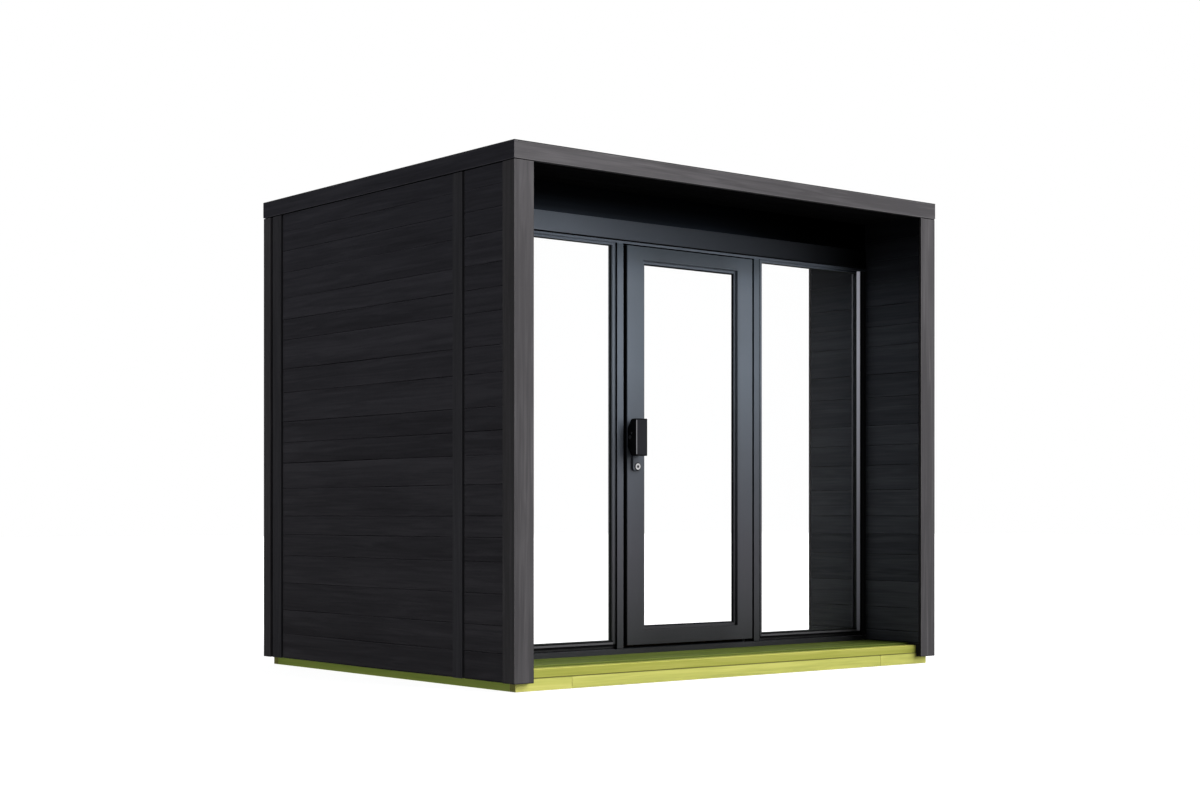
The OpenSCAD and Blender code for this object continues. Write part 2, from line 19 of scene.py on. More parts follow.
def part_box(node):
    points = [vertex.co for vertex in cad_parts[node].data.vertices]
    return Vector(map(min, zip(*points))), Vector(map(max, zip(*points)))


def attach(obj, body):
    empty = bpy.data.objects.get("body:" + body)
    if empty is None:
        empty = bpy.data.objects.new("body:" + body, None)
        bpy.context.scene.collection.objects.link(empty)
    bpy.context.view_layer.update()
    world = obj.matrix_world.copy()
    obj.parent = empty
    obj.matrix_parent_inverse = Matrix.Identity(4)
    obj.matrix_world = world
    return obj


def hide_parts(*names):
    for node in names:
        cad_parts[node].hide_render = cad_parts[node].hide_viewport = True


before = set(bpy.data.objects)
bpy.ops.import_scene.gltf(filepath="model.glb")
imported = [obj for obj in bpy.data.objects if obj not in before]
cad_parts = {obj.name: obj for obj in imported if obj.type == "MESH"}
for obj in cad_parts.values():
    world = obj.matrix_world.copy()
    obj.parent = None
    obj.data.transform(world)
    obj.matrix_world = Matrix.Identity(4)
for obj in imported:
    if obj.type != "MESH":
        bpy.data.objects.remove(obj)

log = logging.getLogger("sauna")
Pair = tuple[float, float]
Triple = tuple[float, float, float]
Colour = Triple
Stops = tuple[tuple[float, Colour], ...]

# The ranges that the height and width ramps of the finishes cover.
RAMP_HEIGHT = 2.5
RAMP_WIDTH = 2.62
# Points closer than this count as one.
TOUCH = 1e-5
# A share of a normal along an axis: less than SLIGHT is none, more than SQUARE is all.
SLIGHT = 0.05
SQUARE = 0.98
# Edges sharper than the first are rounded, and only those flatter than the second are smooth.
SHARP_ANGLE = math.radians(35.0)
SMOOTH_ANGLE = math.radians(30.0)
# Faces that lie this close to one plane are merged.
FLAT_ANGLE = math.radians(0.5)
# Steps across a rounding: of a thin strip, of most edges and of those seen close up.
COARSE, MEDIUM, FINE = 1, 2, 3
# How far flat faces rule the shading of the roundings beside them.
FACE_WEIGHT = 100
# How dark the painted shade along the foot of a piece is.
FOOT_SHADE = 0.85
WHITE = (1.0, 1.0, 1.0)
UP = Vector((0.0, 0.0, 1.0))


class Body(Enum):
    """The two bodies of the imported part."""

    CABIN = "cabin"
    DOOR = "door"


class Slot(Enum):
    """The material slots of the record."""

    DARK_WOOD = "dark_wood"
    BLACK_BOARD = "black_board"
    GREEN_WOOD = "green_wood"
    PALE_WOOD = "pale_wood"
    GREY_METAL = "grey_metal"
    BLACK_METAL = "black_metal"
    ROOF_SHEET = "roof_membrane"
    GLASS = "mirror_glass"
    STEEL = "steel"


class Axis(Enum):
    """The axes of the row frame, by number."""

    X = 0
    Y = 1
    Z = 2


# ------------------------------------------------------------------ shader maths


class Sock:
    """A node socket that can be used in Python expressions."""

    def __init__(self, graph: "Graph", socket: bpy.types.NodeSocket) -> None:
        """Keeps the socket with the graph that it belongs to."""
        self.graph = graph
        self.socket = socket

    def __add__(self, other: "Sock | float") -> "Sock":
        """Sum."""
        return self.graph.math("ADD", self, other)

    __radd__ = __add__

    def __sub__(self, other: "Sock | float") -> "Sock":
        """Difference."""
        return self.graph.math("SUBTRACT", self, other)

    def __rsub__(self, other: float) -> "Sock":
        """Difference from a number."""
        return self.graph.math("SUBTRACT", other, self)

    def __mul__(self, other: "Sock | float") -> "Sock":
        """Product."""
        return self.graph.math("MULTIPLY", self, other)

    __rmul__ = __mul__

    def __truediv__(self, other: "Sock | float") -> "Sock":
        """Quotient."""
        return self.graph.math("DIVIDE", self, other)

    def swing(self, by: float) -> "Sock":
        """How far the value lies from a half, scaled."""
        return (self - 0.5) * by

    def clamped(self) -> "Sock":
        """The value held between 0 and 1."""
        return self.graph.math("ADD", self, 0.0, clamp=True)


class Graph:
    """The node tree of one material or world."""

    def __init__(self, tree: bpy.types.NodeTree) -> None:
        """Empties the tree and keeps it.

        Args:
            tree: The node tree to fill.
        """
        self.tree = tree
        tree.nodes.clear()

    def node(self, kind: str, settings: dict | None = None, inputs: dict | None = None,
             output: int | str = 0) -> Sock:
        """Adds a node.

        Args:
            kind: The node's type.
            settings: Its properties; "stops" gives the stops of a colour ramp.
            inputs: Values or sockets for its inputs, by name or number.
            output: The output that the returned socket wraps.

        Returns:
            The wrapped output socket.
        """
        node = self.tree.nodes.new(kind)
        for key, value in (settings or {}).items():
            if key == "stops":
                self._set_stops(node.color_ramp, value)
            else:
                setattr(node, key, value)
        for key, value in (inputs or {}).items():
            if isinstance(value, Sock):
                self.tree.links.new(value.socket, node.inputs[key])
            else:
                node.inputs[key].default_value = value
        return Sock(self, node.outputs[output]) if node.outputs else Sock(self, node.inputs[0])

    @staticmethod
    def _set_stops(ramp: bpy.types.ColorRamp, stops: Sequence[tuple[float, Colour]]) -> None:
        """Writes the stops of a colour ramp.

        Args:
            ramp: The ramp.
            stops: Positions and colours in order.
        """
        while len(ramp.elements) < len(stops):
            ramp.elements.new(1.0)
        for element, (place, colour) in zip(ramp.elements, stops):
            element.position = place
            element.color = (*colour, 1.0)

    def math(self, operation: str, a: Sock | float, b: Sock | float = 0.0,
             clamp: bool = False) -> Sock:
        """A Math node on two values."""
        settings = {"operation": operation, "use_clamp": clamp}
        return self.node("ShaderNodeMath", settings, {0: a, 1: b})

    def vector(self, operation: str, a: Sock, b: Sock | Sequence[float]) -> Sock:
        """A Vector Math node on two vectors."""
        return self.node("ShaderNodeVectorMath", {"operation": operation}, {0: a, 1: b})

    def scaled(self, a: Sock | Sequence[float], by: Sock | float) -> Sock:
        """A vector scaled by a value."""
        return self.node("ShaderNodeVectorMath", {"operation": "SCALE"}, {0: a, "Scale": by})

    def mix(self, factor: Sock, a: Sock | Colour, b: Sock | Colour) -> Sock:
        """A blend of two colours.

        Args:
            factor: The share of the second colour.
            a: The first colour.
            b: The second colour.

        Returns:
            The blended colour.
        """
        colours = [(*c, 1.0) if isinstance(c, tuple) else c for c in (a, b)]
        return self.node("ShaderNodeMix", {"data_type": "RGBA"},
                         {0: factor, 6: colours[0], 7: colours[1]}, output=2)

    def ramp(self, value: Sock, stops: Sequence[tuple[float, Colour]]) -> Sock:
        """A colour ramp over a value."""
        return self.node("ShaderNodeValToRGB", {"stops": stops}, {0: value})

    def band(self, value: Sock, start: float, end: float) -> Sock:
        """A smooth step of a value from 0 at start to 1 at end."""
        return self.node("ShaderNodeMapRange", {"interpolation_type": "SMOOTHSTEP"},
                         {"Value": value, "From Min": start, "From Max": end})

    def noise(self, vector: Sock, scale: float, detail: float = 3.0, roughness: float = 0.55,
              distortion: float = 0.0) -> Sock:
        """Noise over a vector."""
        return self.node("ShaderNodeTexNoise", None, {
            "Vector": vector, "Scale": scale, "Detail": detail, "Roughness": roughness,
            "Distortion": distortion})

    def place(self) -> Sock:
        """The place on the object, in metres."""
        return self.node("ShaderNodeTexCoord", output="Object")

    def climb(self, stops: Stops) -> Sock:
        """A colour that changes with the height, from 0 at the ground to 1 at the roof."""
        height = self.node("ShaderNodeSeparateXYZ", None, {0: self.place()}, output="Z")
        return self.ramp(height / RAMP_HEIGHT, stops)

    def stretch(self, stops: Stops) -> Sock:
        """A colour that changes along X, from 0 at the left wall to 1 at the right one."""
        across = self.node("ShaderNodeSeparateXYZ", None, {0: self.place()}, output="X")
        return self.ramp(across / RAMP_WIDTH + 0.5, stops)

    def shaded(self, colour: Sock, climb: Stops, stretch: Stops) -> Sock:
        """A colour with painted light and shade along the height and along X.

        Args:
            colour: The colour.
            climb: The stops along the height, or none.
            stretch: The stops along X, or none.

        Returns:
            The dimmed colour.
        """
        if climb:
            colour = self.vector("MULTIPLY", colour, self.climb(climb))
        if stretch:
            colour = self.vector("MULTIPLY", colour, self.stretch(stretch))
        return colour

    def attribute(self, name: str) -> Sock:
        """A number kept on the mesh."""
        return self.node("ShaderNodeAttribute", {"attribute_name": name}, output="Fac")

    def bump(self, height: Sock, strength: float, distance: float) -> Sock:
        """A bumped normal from a height."""
        return self.node("ShaderNodeBump", None, {
            "Strength": strength, "Distance": distance, "Height": height})

    def principled(self, inputs: dict) -> None:
        """Closes the material with its shader.

        Args:
            inputs: Values or sockets for the shader's inputs, by name.
        """
        shader = self.node("ShaderNodeBsdfPrincipled", None, inputs)
        self.node("ShaderNodeOutputMaterial", None, {"Surface": shader})


@dataclass(frozen=True)
class Finish:
    """A named finish. Each kind fills its own node tree once."""

    name: str
    slot: Slot

    def material(self) -> bpy.types.Material:
        """The finish's material, made the first time it is asked for."""
        found = bpy.data.materials.get(self.name)
        if found is None:
            found = bpy.data.materials.new(self.name)
            found.use_nodes = True
            self.fill(Graph(found.node_tree))
        return found

    def fill(self, graph: Graph) -> None:
        """Makes the nodes.

        Args:
            graph: The empty node tree.
        """
        raise NotImplementedError


@dataclass(frozen=True)
class Timber(Finish):
    """Planed and stained timber with its grain along one axis."""

    grain: Axis
    dark: Colour
    middle: Colour
    light: Colour
    streaks: float = 1.0
    gloss: float = 0.1
    roughness: float = 0.62
    knots: float = 0.0
    edge_light: float = 1.5
    lift: float = 0.0004
    uneven: float = 0.3
    gleam: float = 0.0
    highlight_share: float = 0.75
    shade_share: float = 0.22
    board_shift: Triple = (7.3, 11.9, 5.1)
    climb: Stops = ()
    stretch: Stops = ()

    def fill(self, graph: Graph) -> None:
        """Makes long streaks, fine pores, knots and a tone for each board.

        Args:
            graph: The empty node tree.
        """
        tone, edge = graph.attribute("tone"), graph.attribute("edge")
        shifted = graph.vector("ADD", graph.place(), graph.scaled(self.board_shift, tone))
        along = self.drawn_out(graph, shifted, across=9.0, along=0.45)
        streak = graph.noise(along, scale=1.0, detail=5.0, roughness=0.6, distortion=0.7)
        figure = graph.noise(along, scale=3.4, detail=3.0, roughness=0.5, distortion=1.6)
        pores = graph.noise(self.drawn_out(graph, shifted, across=210.0, along=3.2), scale=1.0,
                            detail=2.0, roughness=0.6)
        cloud = graph.noise(shifted, scale=1.1, detail=2.0)
        value = (0.5 + streak.swing(1.1 * self.streaks) + figure.swing(0.7 * self.streaks)
                 + pores.swing(0.35) + cloud.swing(0.35) + tone.swing(self.uneven))
        height = streak * 0.4 + pores * 0.6
        if self.knots > 0.0:
            spots = graph.node("ShaderNodeTexVoronoi", {"feature": "F1"}, {
                "Vector": self.drawn_out(graph, shifted, across=5.5, along=1.6), "Scale": 1.0,
                "Randomness": 1.0})
            knot = 1.0 - graph.band(spots, start=0.03, end=0.16)
            value = value - knot * self.knots
            height = height - knot * 0.5
        colour = graph.ramp(value.clamped(), (
            (0.22, self.dark), (0.5, self.middle), (0.82, self.light)))
        if self.gleam > 0.0:
            gleam = graph.noise(self.drawn_out(graph, shifted, across=34.0, along=1.5), scale=1.0,
                                detail=2.0, roughness=0.5, distortion=0.5)
            share = graph.band(gleam, start=0.56, end=0.74) * self.gleam
            colour = graph.mix(share, colour, self.light)
        # Painted highlight on the rounded edges that carry the edge mark.
        edge_highlight = tuple(min(1.0, c * self.edge_light) for c in self.light)
        colour = graph.mix((edge * self.highlight_share * (0.35 + streak)).clamped(), colour, edge_highlight)
        # Painted shade on the faces marked for it: undersides, lower edges, joints and feet.
        shade_colour = tuple(c * self.shade_share for c in self.dark)
        colour = graph.mix(graph.attribute("painted_shade"), colour, shade_colour)
        graph.principled({
            "Base Color": graph.shaded(colour, self.climb, self.stretch),
            "Roughness": (self.roughness + pores.swing(0.2)).clamped(),
            "Specular IOR Level": self.gloss,
            "Normal": graph.bump(height, strength=0.55, distance=self.lift)})

    def drawn_out(self, graph: Graph, place: Sock, across: float, along: float) -> Sock:
        """A place scaled so that what is drawn over it runs with the grain.

        Args:
            graph: The node tree.
            place: The place.
            across: The scale across the grain.
            along: The scale along it.

        Returns:
            The scaled place.
        """
        scales = [across] * 3
        scales[self.grain.value] = along
        return graph.vector("MULTIPLY", place, scales)


@dataclass(frozen=True)
class Coated(Finish):
    """Powder-coated metal, moulded rubber or a coated board."""

    colour: Colour
    roughness: float = 0.42
    gloss: float = 0.5
    peel: float = 0.00006
    cloudy: float = 0.16
    climb: Stops = ()
    stretch: Stops = ()
    metallic: float = 0.0
    edge_highlight: float = 0.0

    def fill(self, graph: Graph) -> None:
        """Makes a faint orange-peel surface with cloudy wear and painted edge highlights.

        Args:
            graph: The empty node tree.
        """
        place = graph.place()
        peel = graph.noise(place, scale=420.0, detail=2.0, roughness=0.5)
        cloud = graph.noise(place, scale=2.3, detail=4.0, roughness=0.6, distortion=0.3)
        specks = graph.noise(place, scale=95.0, detail=2.0, roughness=0.6)
        low = tuple(c * (1.0 - self.cloudy) for c in self.colour)
        high = tuple(c * (1.0 + self.cloudy) for c in self.colour)
        mixed = graph.mix((cloud.swing(1.6) + specks.swing(0.5) + 0.5).clamped(), low, high)
        # Painted highlight on the rounded edges that carry the edge mark.
        if self.edge_highlight > 0.0:
            edge_light = tuple(min(1.0, c * (1.0 + self.edge_highlight)) for c in self.colour)
            mixed = graph.mix((graph.attribute("edge") * (0.4 + cloud)).clamped(), mixed, edge_light)
        rough = self.roughness + cloud.swing(0.12) + specks.swing(0.08)
        graph.principled({
            "Base Color": graph.shaded(mixed, self.climb, self.stretch),
            "Metallic": self.metallic, "Roughness": rough.clamped(),
            "Specular IOR Level": self.gloss,
            "Normal": graph.bump(peel, strength=0.3, distance=self.peel)})


@dataclass(frozen=True)
class Mirror(Finish):
    """Solar glass that reflects like a mirror."""

    tint: Colour
    metallic: float = 0.99
    dusty: float = 0.996

    def fill(self, graph: Graph) -> None:
        """Makes the mirror, with a film of dust that dulls it a little.

        Args:
            graph: The empty node tree.
        """
        film = graph.noise(graph.place(), scale=3.1, detail=4.0, roughness=0.6, distortion=0.4)
        deeper = tuple(c * self.dusty for c in self.tint)
        graph.principled({
            "Base Color": graph.mix(film, self.tint, deeper), "Metallic": self.metallic,
            "Roughness": 0.008 + film * 0.014})


@dataclass(frozen=True)
class Brushed(Finish):
    """Brushed steel."""

    colour: Colour
    roughness: float = 0.3
    lines: Triple = (40.0, 900.0, 900.0)
    dulled: float = 0.8

    def fill(self, graph: Graph) -> None:
        """Makes fine brush lines along X.

        Args:
            graph: The empty node tree.
        """
        drawn = graph.vector("MULTIPLY", graph.place(), self.lines)
        lines = graph.noise(drawn, scale=1.0, detail=3.0, roughness=0.6)
        dull = tuple(c * self.dulled for c in self.colour)
        graph.principled({
            "Base Color": graph.mix(lines, dull, self.colour), "Metallic": 1.0,
            "Roughness": (self.roughness + lines.swing(0.2)).clamped(),
            "Normal": graph.bump(lines, strength=0.2, distance=0.00005)})


def even(*stops: Pair) -> Stops:
    """Stops that dim red, green and blue alike, from pairs of a position and a share."""
    return tuple((place, (share,) * 3) for place, share in stops)


def dark_timber(grain: Axis) -> Timber:
    """The dark stain of the outside, with its grain along an axis."""
    # Painted light and shade: fronts dimmer low down; sides darker and cooler, most up high.
    climb, gloss, uneven = even((0.0, 0.90), (1.0, 1.04)), 0.06, 0.3
    if grain is Axis.Y:
        climb, gloss, uneven = ((0.0, (0.82, 0.82, 0.85)), (1.0, (0.70, 0.72, 0.81))), 0.02, 0.13
    return Timber(f"dark_wood_{grain.name.lower()}", Slot.DARK_WOOD, grain,
                  (0.060, 0.057, 0.060), (0.087, 0.083, 0.087), (0.132, 0.126, 0.130),
                  streaks=1.0, gloss=gloss, roughness=0.66, edge_light=1.4, gleam=0.5, climb=climb,
                  uneven=uneven)


def upright_timber() -> Timber:
    """The narrow uprights of the sides, darker than the posts and boards: painted shade."""
    return Timber("upright_wood", Slot.DARK_WOOD, Axis.Z,
                  (0.052, 0.051, 0.056), (0.074, 0.073, 0.079), (0.110, 0.108, 0.116),
                  streaks=0.8, gloss=0.02, roughness=0.68, edge_light=1.5, gleam=0.4)


def porch_timber() -> Timber:
    """The boards inside the porch, darker as painted shade and blackest under its roof."""
    return Timber("porch_wood", Slot.DARK_WOOD, Axis.Y,
                  (0.029, 0.031, 0.036), (0.042, 0.045, 0.052), (0.065, 0.069, 0.077),
                  streaks=0.7, gloss=0.03, roughness=0.7, edge_light=1.3, gleam=0.5, climb=(
                      (0.0, WHITE), (0.62, (0.92, 0.92, 0.95)), (0.80, (0.6, 0.62, 0.66)),
                      (0.93, (0.08, 0.08, 0.09))))


def green_timber(grain: Axis) -> Timber:
    """The yellow-green stain of the base and the front edge of the deck."""
    return Timber(f"green_wood_{grain.name.lower()}", Slot.GREEN_WOOD, grain,
                  (0.33, 0.345, 0.085), (0.445, 0.445, 0.112), (0.55, 0.53, 0.16),
                  streaks=0.9, gloss=0.06, roughness=0.6, edge_light=1.15, lift=0.0006, uneven=0.1)


def nosing_timber() -> Timber:
    """The front edge of the deck, a little deeper than the base."""
    return Timber("nosing_wood", Slot.GREEN_WOOD, Axis.X,
                  (0.215, 0.23, 0.042), (0.295, 0.305, 0.058), (0.37, 0.36, 0.088),
                  streaks=0.9, gloss=0.05, roughness=0.62, edge_light=1.25, lift=0.0006, uneven=0.1)


def base_side_timber() -> Timber:
    """The base boards under the side walls, brighter and greener: painted light in shade."""
    return Timber("base_side_wood", Slot.GREEN_WOOD, Axis.Y,
                  (0.516, 0.699, 0.12), (0.688, 0.901, 0.165), (0.82, 0.95, 0.216),
                  streaks=1.0, gloss=0.05, roughness=0.62, edge_light=1.15, lift=0.0006, uneven=0.1)


def deck_timber() -> Timber:
    """The deck boards, in a darker green: painted shade under the porch."""
    return Timber("deck_wood", Slot.GREEN_WOOD, Axis.X,
                  (0.047, 0.067, 0.013), (0.073, 0.097, 0.019), (0.113, 0.139, 0.032),
                  streaks=1.1, gloss=0.03, roughness=0.68, edge_light=1.0, lift=0.0006, uneven=0.15)


def pale_timber(grain: Axis) -> Timber:
    """The plain boards of the room."""
    return Timber(f"pale_wood_{grain.name.lower()}", Slot.PALE_WOOD, grain,
                  (0.42, 0.27, 0.14), (0.58, 0.41, 0.25), (0.68, 0.51, 0.33),
                  streaks=0.8, gloss=0.2, roughness=0.55, knots=0.6, edge_light=1.05)


def lintel_timber() -> Timber:
    """The board over the header: painted light at its foot and left end, shade elsewhere."""
    return Timber("lintel_wood", Slot.BLACK_BOARD, Axis.X,
                  (0.020, 0.024, 0.031), (0.028, 0.034, 0.044), (0.040, 0.047, 0.060),
                  streaks=0.5, gloss=0.0, roughness=0.8, climb=even(
                      (0.909, 1.0), (0.922, 0.42), (0.948, 0.10)),
                  stretch=((0.2, WHITE), (0.55, (0.5, 0.52, 0.55)),
                           (0.70, (0.13, 0.13, 0.13)), (0.80, (0.03, 0.03, 0.03))))


def black_timber(grain: Axis) -> Timber:
    """Near-black boards: painted shade on the soffit and on wall cores seen in grooves."""
    return Timber(f"black_wood_{grain.name.lower()}", Slot.BLACK_BOARD, grain,
                  (0.003, 0.003, 0.0032), (0.005, 0.005, 0.0054), (0.009, 0.009, 0.0095),
                  streaks=0.7, gloss=0.0, roughness=0.8, edge_light=1.2)


# Painted shade on the metal: darker towards the ground, and under the porch roof.
METAL_CLIMB = ((0.05, (0.18, 0.16, 0.14)), (0.25, (0.43, 0.37, 0.36)), (0.45, (0.65, 0.62, 0.61)),
               (0.62, WHITE))
LEAF_CLIMB = METAL_CLIMB + ((0.785, WHITE), (0.815, (0.86, 0.88, 0.90)),
                            (0.838, (0.60, 0.62, 0.63)), (0.856, (0.46, 0.50, 0.52)))
FRAME_CLIMB = METAL_CLIMB + ((0.80, (0.95, 0.97, 0.98)), (0.88, (0.66, 0.68, 0.72)))
# Its stretch paints light and shade across the front: lighter on stiles and mullions.
GREY_COAT = Coated("grey_coat", Slot.GREY_METAL, (0.090, 0.106, 0.129), gloss=0.14, cloudy=0.08,
                   climb=LEAF_CLIMB, edge_highlight=0.8, stretch=even(
                       (0.31, 1.15), (0.355, 0.97), (0.42, 0.74), (0.58, 0.74), (0.635, 1.08),
                       (0.66, 1.08), (0.69, 0.89)))
BEAD_COAT = Coated("bead_coat", Slot.GREY_METAL, (0.095, 0.110, 0.133), gloss=0.14, cloudy=0.08,
                   climb=FRAME_CLIMB, edge_highlight=0.8)
# Painted light at the header's left end, painted shade fading to black to the right.
HEADER_COAT = Coated("header_coat", Slot.GREY_METAL, (0.15, 0.17, 0.20), gloss=0.02, cloudy=0.08,
                     edge_highlight=0.6, stretch=(
                         (0.05, (0.85, 0.85, 0.85)), (0.2, (0.68, 0.68, 0.69)),
                         (0.32, (0.46, 0.46, 0.47)), (0.5, (0.265, 0.265, 0.27)),
                         (0.7, (0.125, 0.125, 0.13)), (0.85, (0.035, 0.035, 0.037)),
                         (0.97, (0.004, 0.004, 0.004))))
# Its stretch is painted shade near the right wall.
FRAME_COAT = Coated("frame_coat", Slot.GREY_METAL, (0.110, 0.127, 0.152), gloss=0.12, cloudy=0.08,
                    climb=FRAME_CLIMB, edge_highlight=0.8,
                    stretch=even((0.62, 1.0), (0.86, 0.7), (0.965, 0.14)))
# Painted highlight: a light coat dimmed low down; as metal it also reflects for real.
BRIGHT_COAT = Coated("bright_coat", Slot.GREY_METAL, (0.30, 0.305, 0.345), roughness=0.4,
                     metallic=1.0, cloudy=0.04, climb=even((0.05, 0.16), (0.3, 0.36), (0.7, 1.0)))
DRIP_COAT = Coated("drip_coat", Slot.GREY_METAL, (0.066, 0.065, 0.070), gloss=0.1, cloudy=0.08)
SEAL_GREY = Coated("seal_grey", Slot.BLACK_METAL, (0.024, 0.027, 0.025), roughness=0.8,
                   gloss=0.02)
BLACK_COAT = Coated("black_coat", Slot.BLACK_METAL, (0.009, 0.009, 0.010), roughness=0.4,
                    gloss=0.12)
PULL_COAT = Coated("pull_coat", Slot.BLACK_METAL, (0.0035, 0.0036, 0.0045), roughness=0.5,
                   gloss=0.04)
DARK_COAT = Coated("dark_coat", Slot.DARK_WOOD, (0.0085, 0.0085, 0.0095), roughness=0.6,
                   gloss=0.03)
BLACK_RUBBER = Coated("black_rubber", Slot.BLACK_METAL, (0.004, 0.004, 0.0045), roughness=0.8,
                      gloss=0.02)
ROOF_SHEET = Coated("roof_sheet", Slot.ROOF_SHEET, (0.022, 0.022, 0.024), roughness=0.8,
                    gloss=0.25, peel=0.0004, cloudy=0.3)
SOLAR_GLASS = Mirror("solar_glass", Slot.GLASS, (0.997, 0.999, 1.0))
STEEL = Brushed("steel", Slot.STEEL, (0.40, 0.40, 0.42))
DULL_STEEL = Brushed("dull_steel", Slot.STEEL, (0.075, 0.078, 0.085), roughness=0.45)
# Painted highlight on the pull's chamfer; as steel it also reflects for real.
POLISHED = Brushed("polished_edge", Slot.STEEL, (0.30, 0.30, 0.32), roughness=0.3)
GRIP_FACE = Coated("grip_face", Slot.BLACK_METAL, (0.0145, 0.0145, 0.0175), roughness=0.5,
                   gloss=0.06, cloudy=0.1)


# ------------------------------------------------------------------ modelling


@dataclass(frozen=True)
class Box:
    """A box by its lowest and highest corners."""

    low: Vector
    high: Vector

    @classmethod
    def between(cls: type["Box"], x: Sequence[float], y: Sequence[float],
                z: Sequence[float]) -> "Box":
        """The box between two limits along each axis, given in either order."""
        limits = [sorted(pair) for pair in (x, y, z)]
        return cls(Vector([pair[0] for pair in limits]), Vector([pair[1] for pair in limits]))

    @property
    def size(self) -> Vector:
        """Its size along each axis."""
        return self.high - self.low

    @property
    def centre(self) -> Vector:
        """Its middle."""
        return (self.low + self.high) / 2

    def limited(self, axis: Axis, low: float, high: float) -> "Box":
        """The same box with other limits along one axis.

        Args:
            axis: The axis.
            low: Its lower limit.
            high: Its upper limit.

        Returns:
            The new box.
        """
        a, b = self.low.copy(), self.high.copy()
        a[axis.value], b[axis.value] = low, high
        return Box(a, b)

    def shrunk(self, rim: float) -> "Box":
        """The same box, smaller by a rim along X and Z."""
        inset = Vector((rim, 0.0, rim))
        return Box(self.low + inset, self.high - inset)


def node_box(node: str) -> Box:
    """The box of a CAD node."""
    low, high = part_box(node)
    return Box(low, high)


def solid_boxes(node: str) -> list[Box]:
    """The boxes of the separate solids in a CAD node, sorted by their lowest corners.

    Args:
        node: The node's name.

    Returns:
        A box for each solid.
    """
    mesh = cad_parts[node].data
    keys = [tuple(round(c, 5) for c in v.co) for v in mesh.vertices]
    parent = {k: k for k in keys}

    def root(key: tuple) -> tuple:
        """The key that stands for a solid."""
        while parent[key] != key:
            parent[key] = parent[parent[key]]
            key = parent[key]
        return key

    for polygon in mesh.polygons:
        first = root(keys[polygon.vertices[0]])
        for index in polygon.vertices[1:]:
            parent[root(keys[index])] = first
    groups: dict[tuple, list[tuple]] = {}
    for key in parent:
        groups.setdefault(root(key), []).append(key)
    boxes = [Box(Vector(map(min, zip(*points))), Vector(map(max, zip(*points))))
             for points in groups.values()]
    return sorted(boxes, key=lambda b: tuple(round(c, 3) for c in b.low))


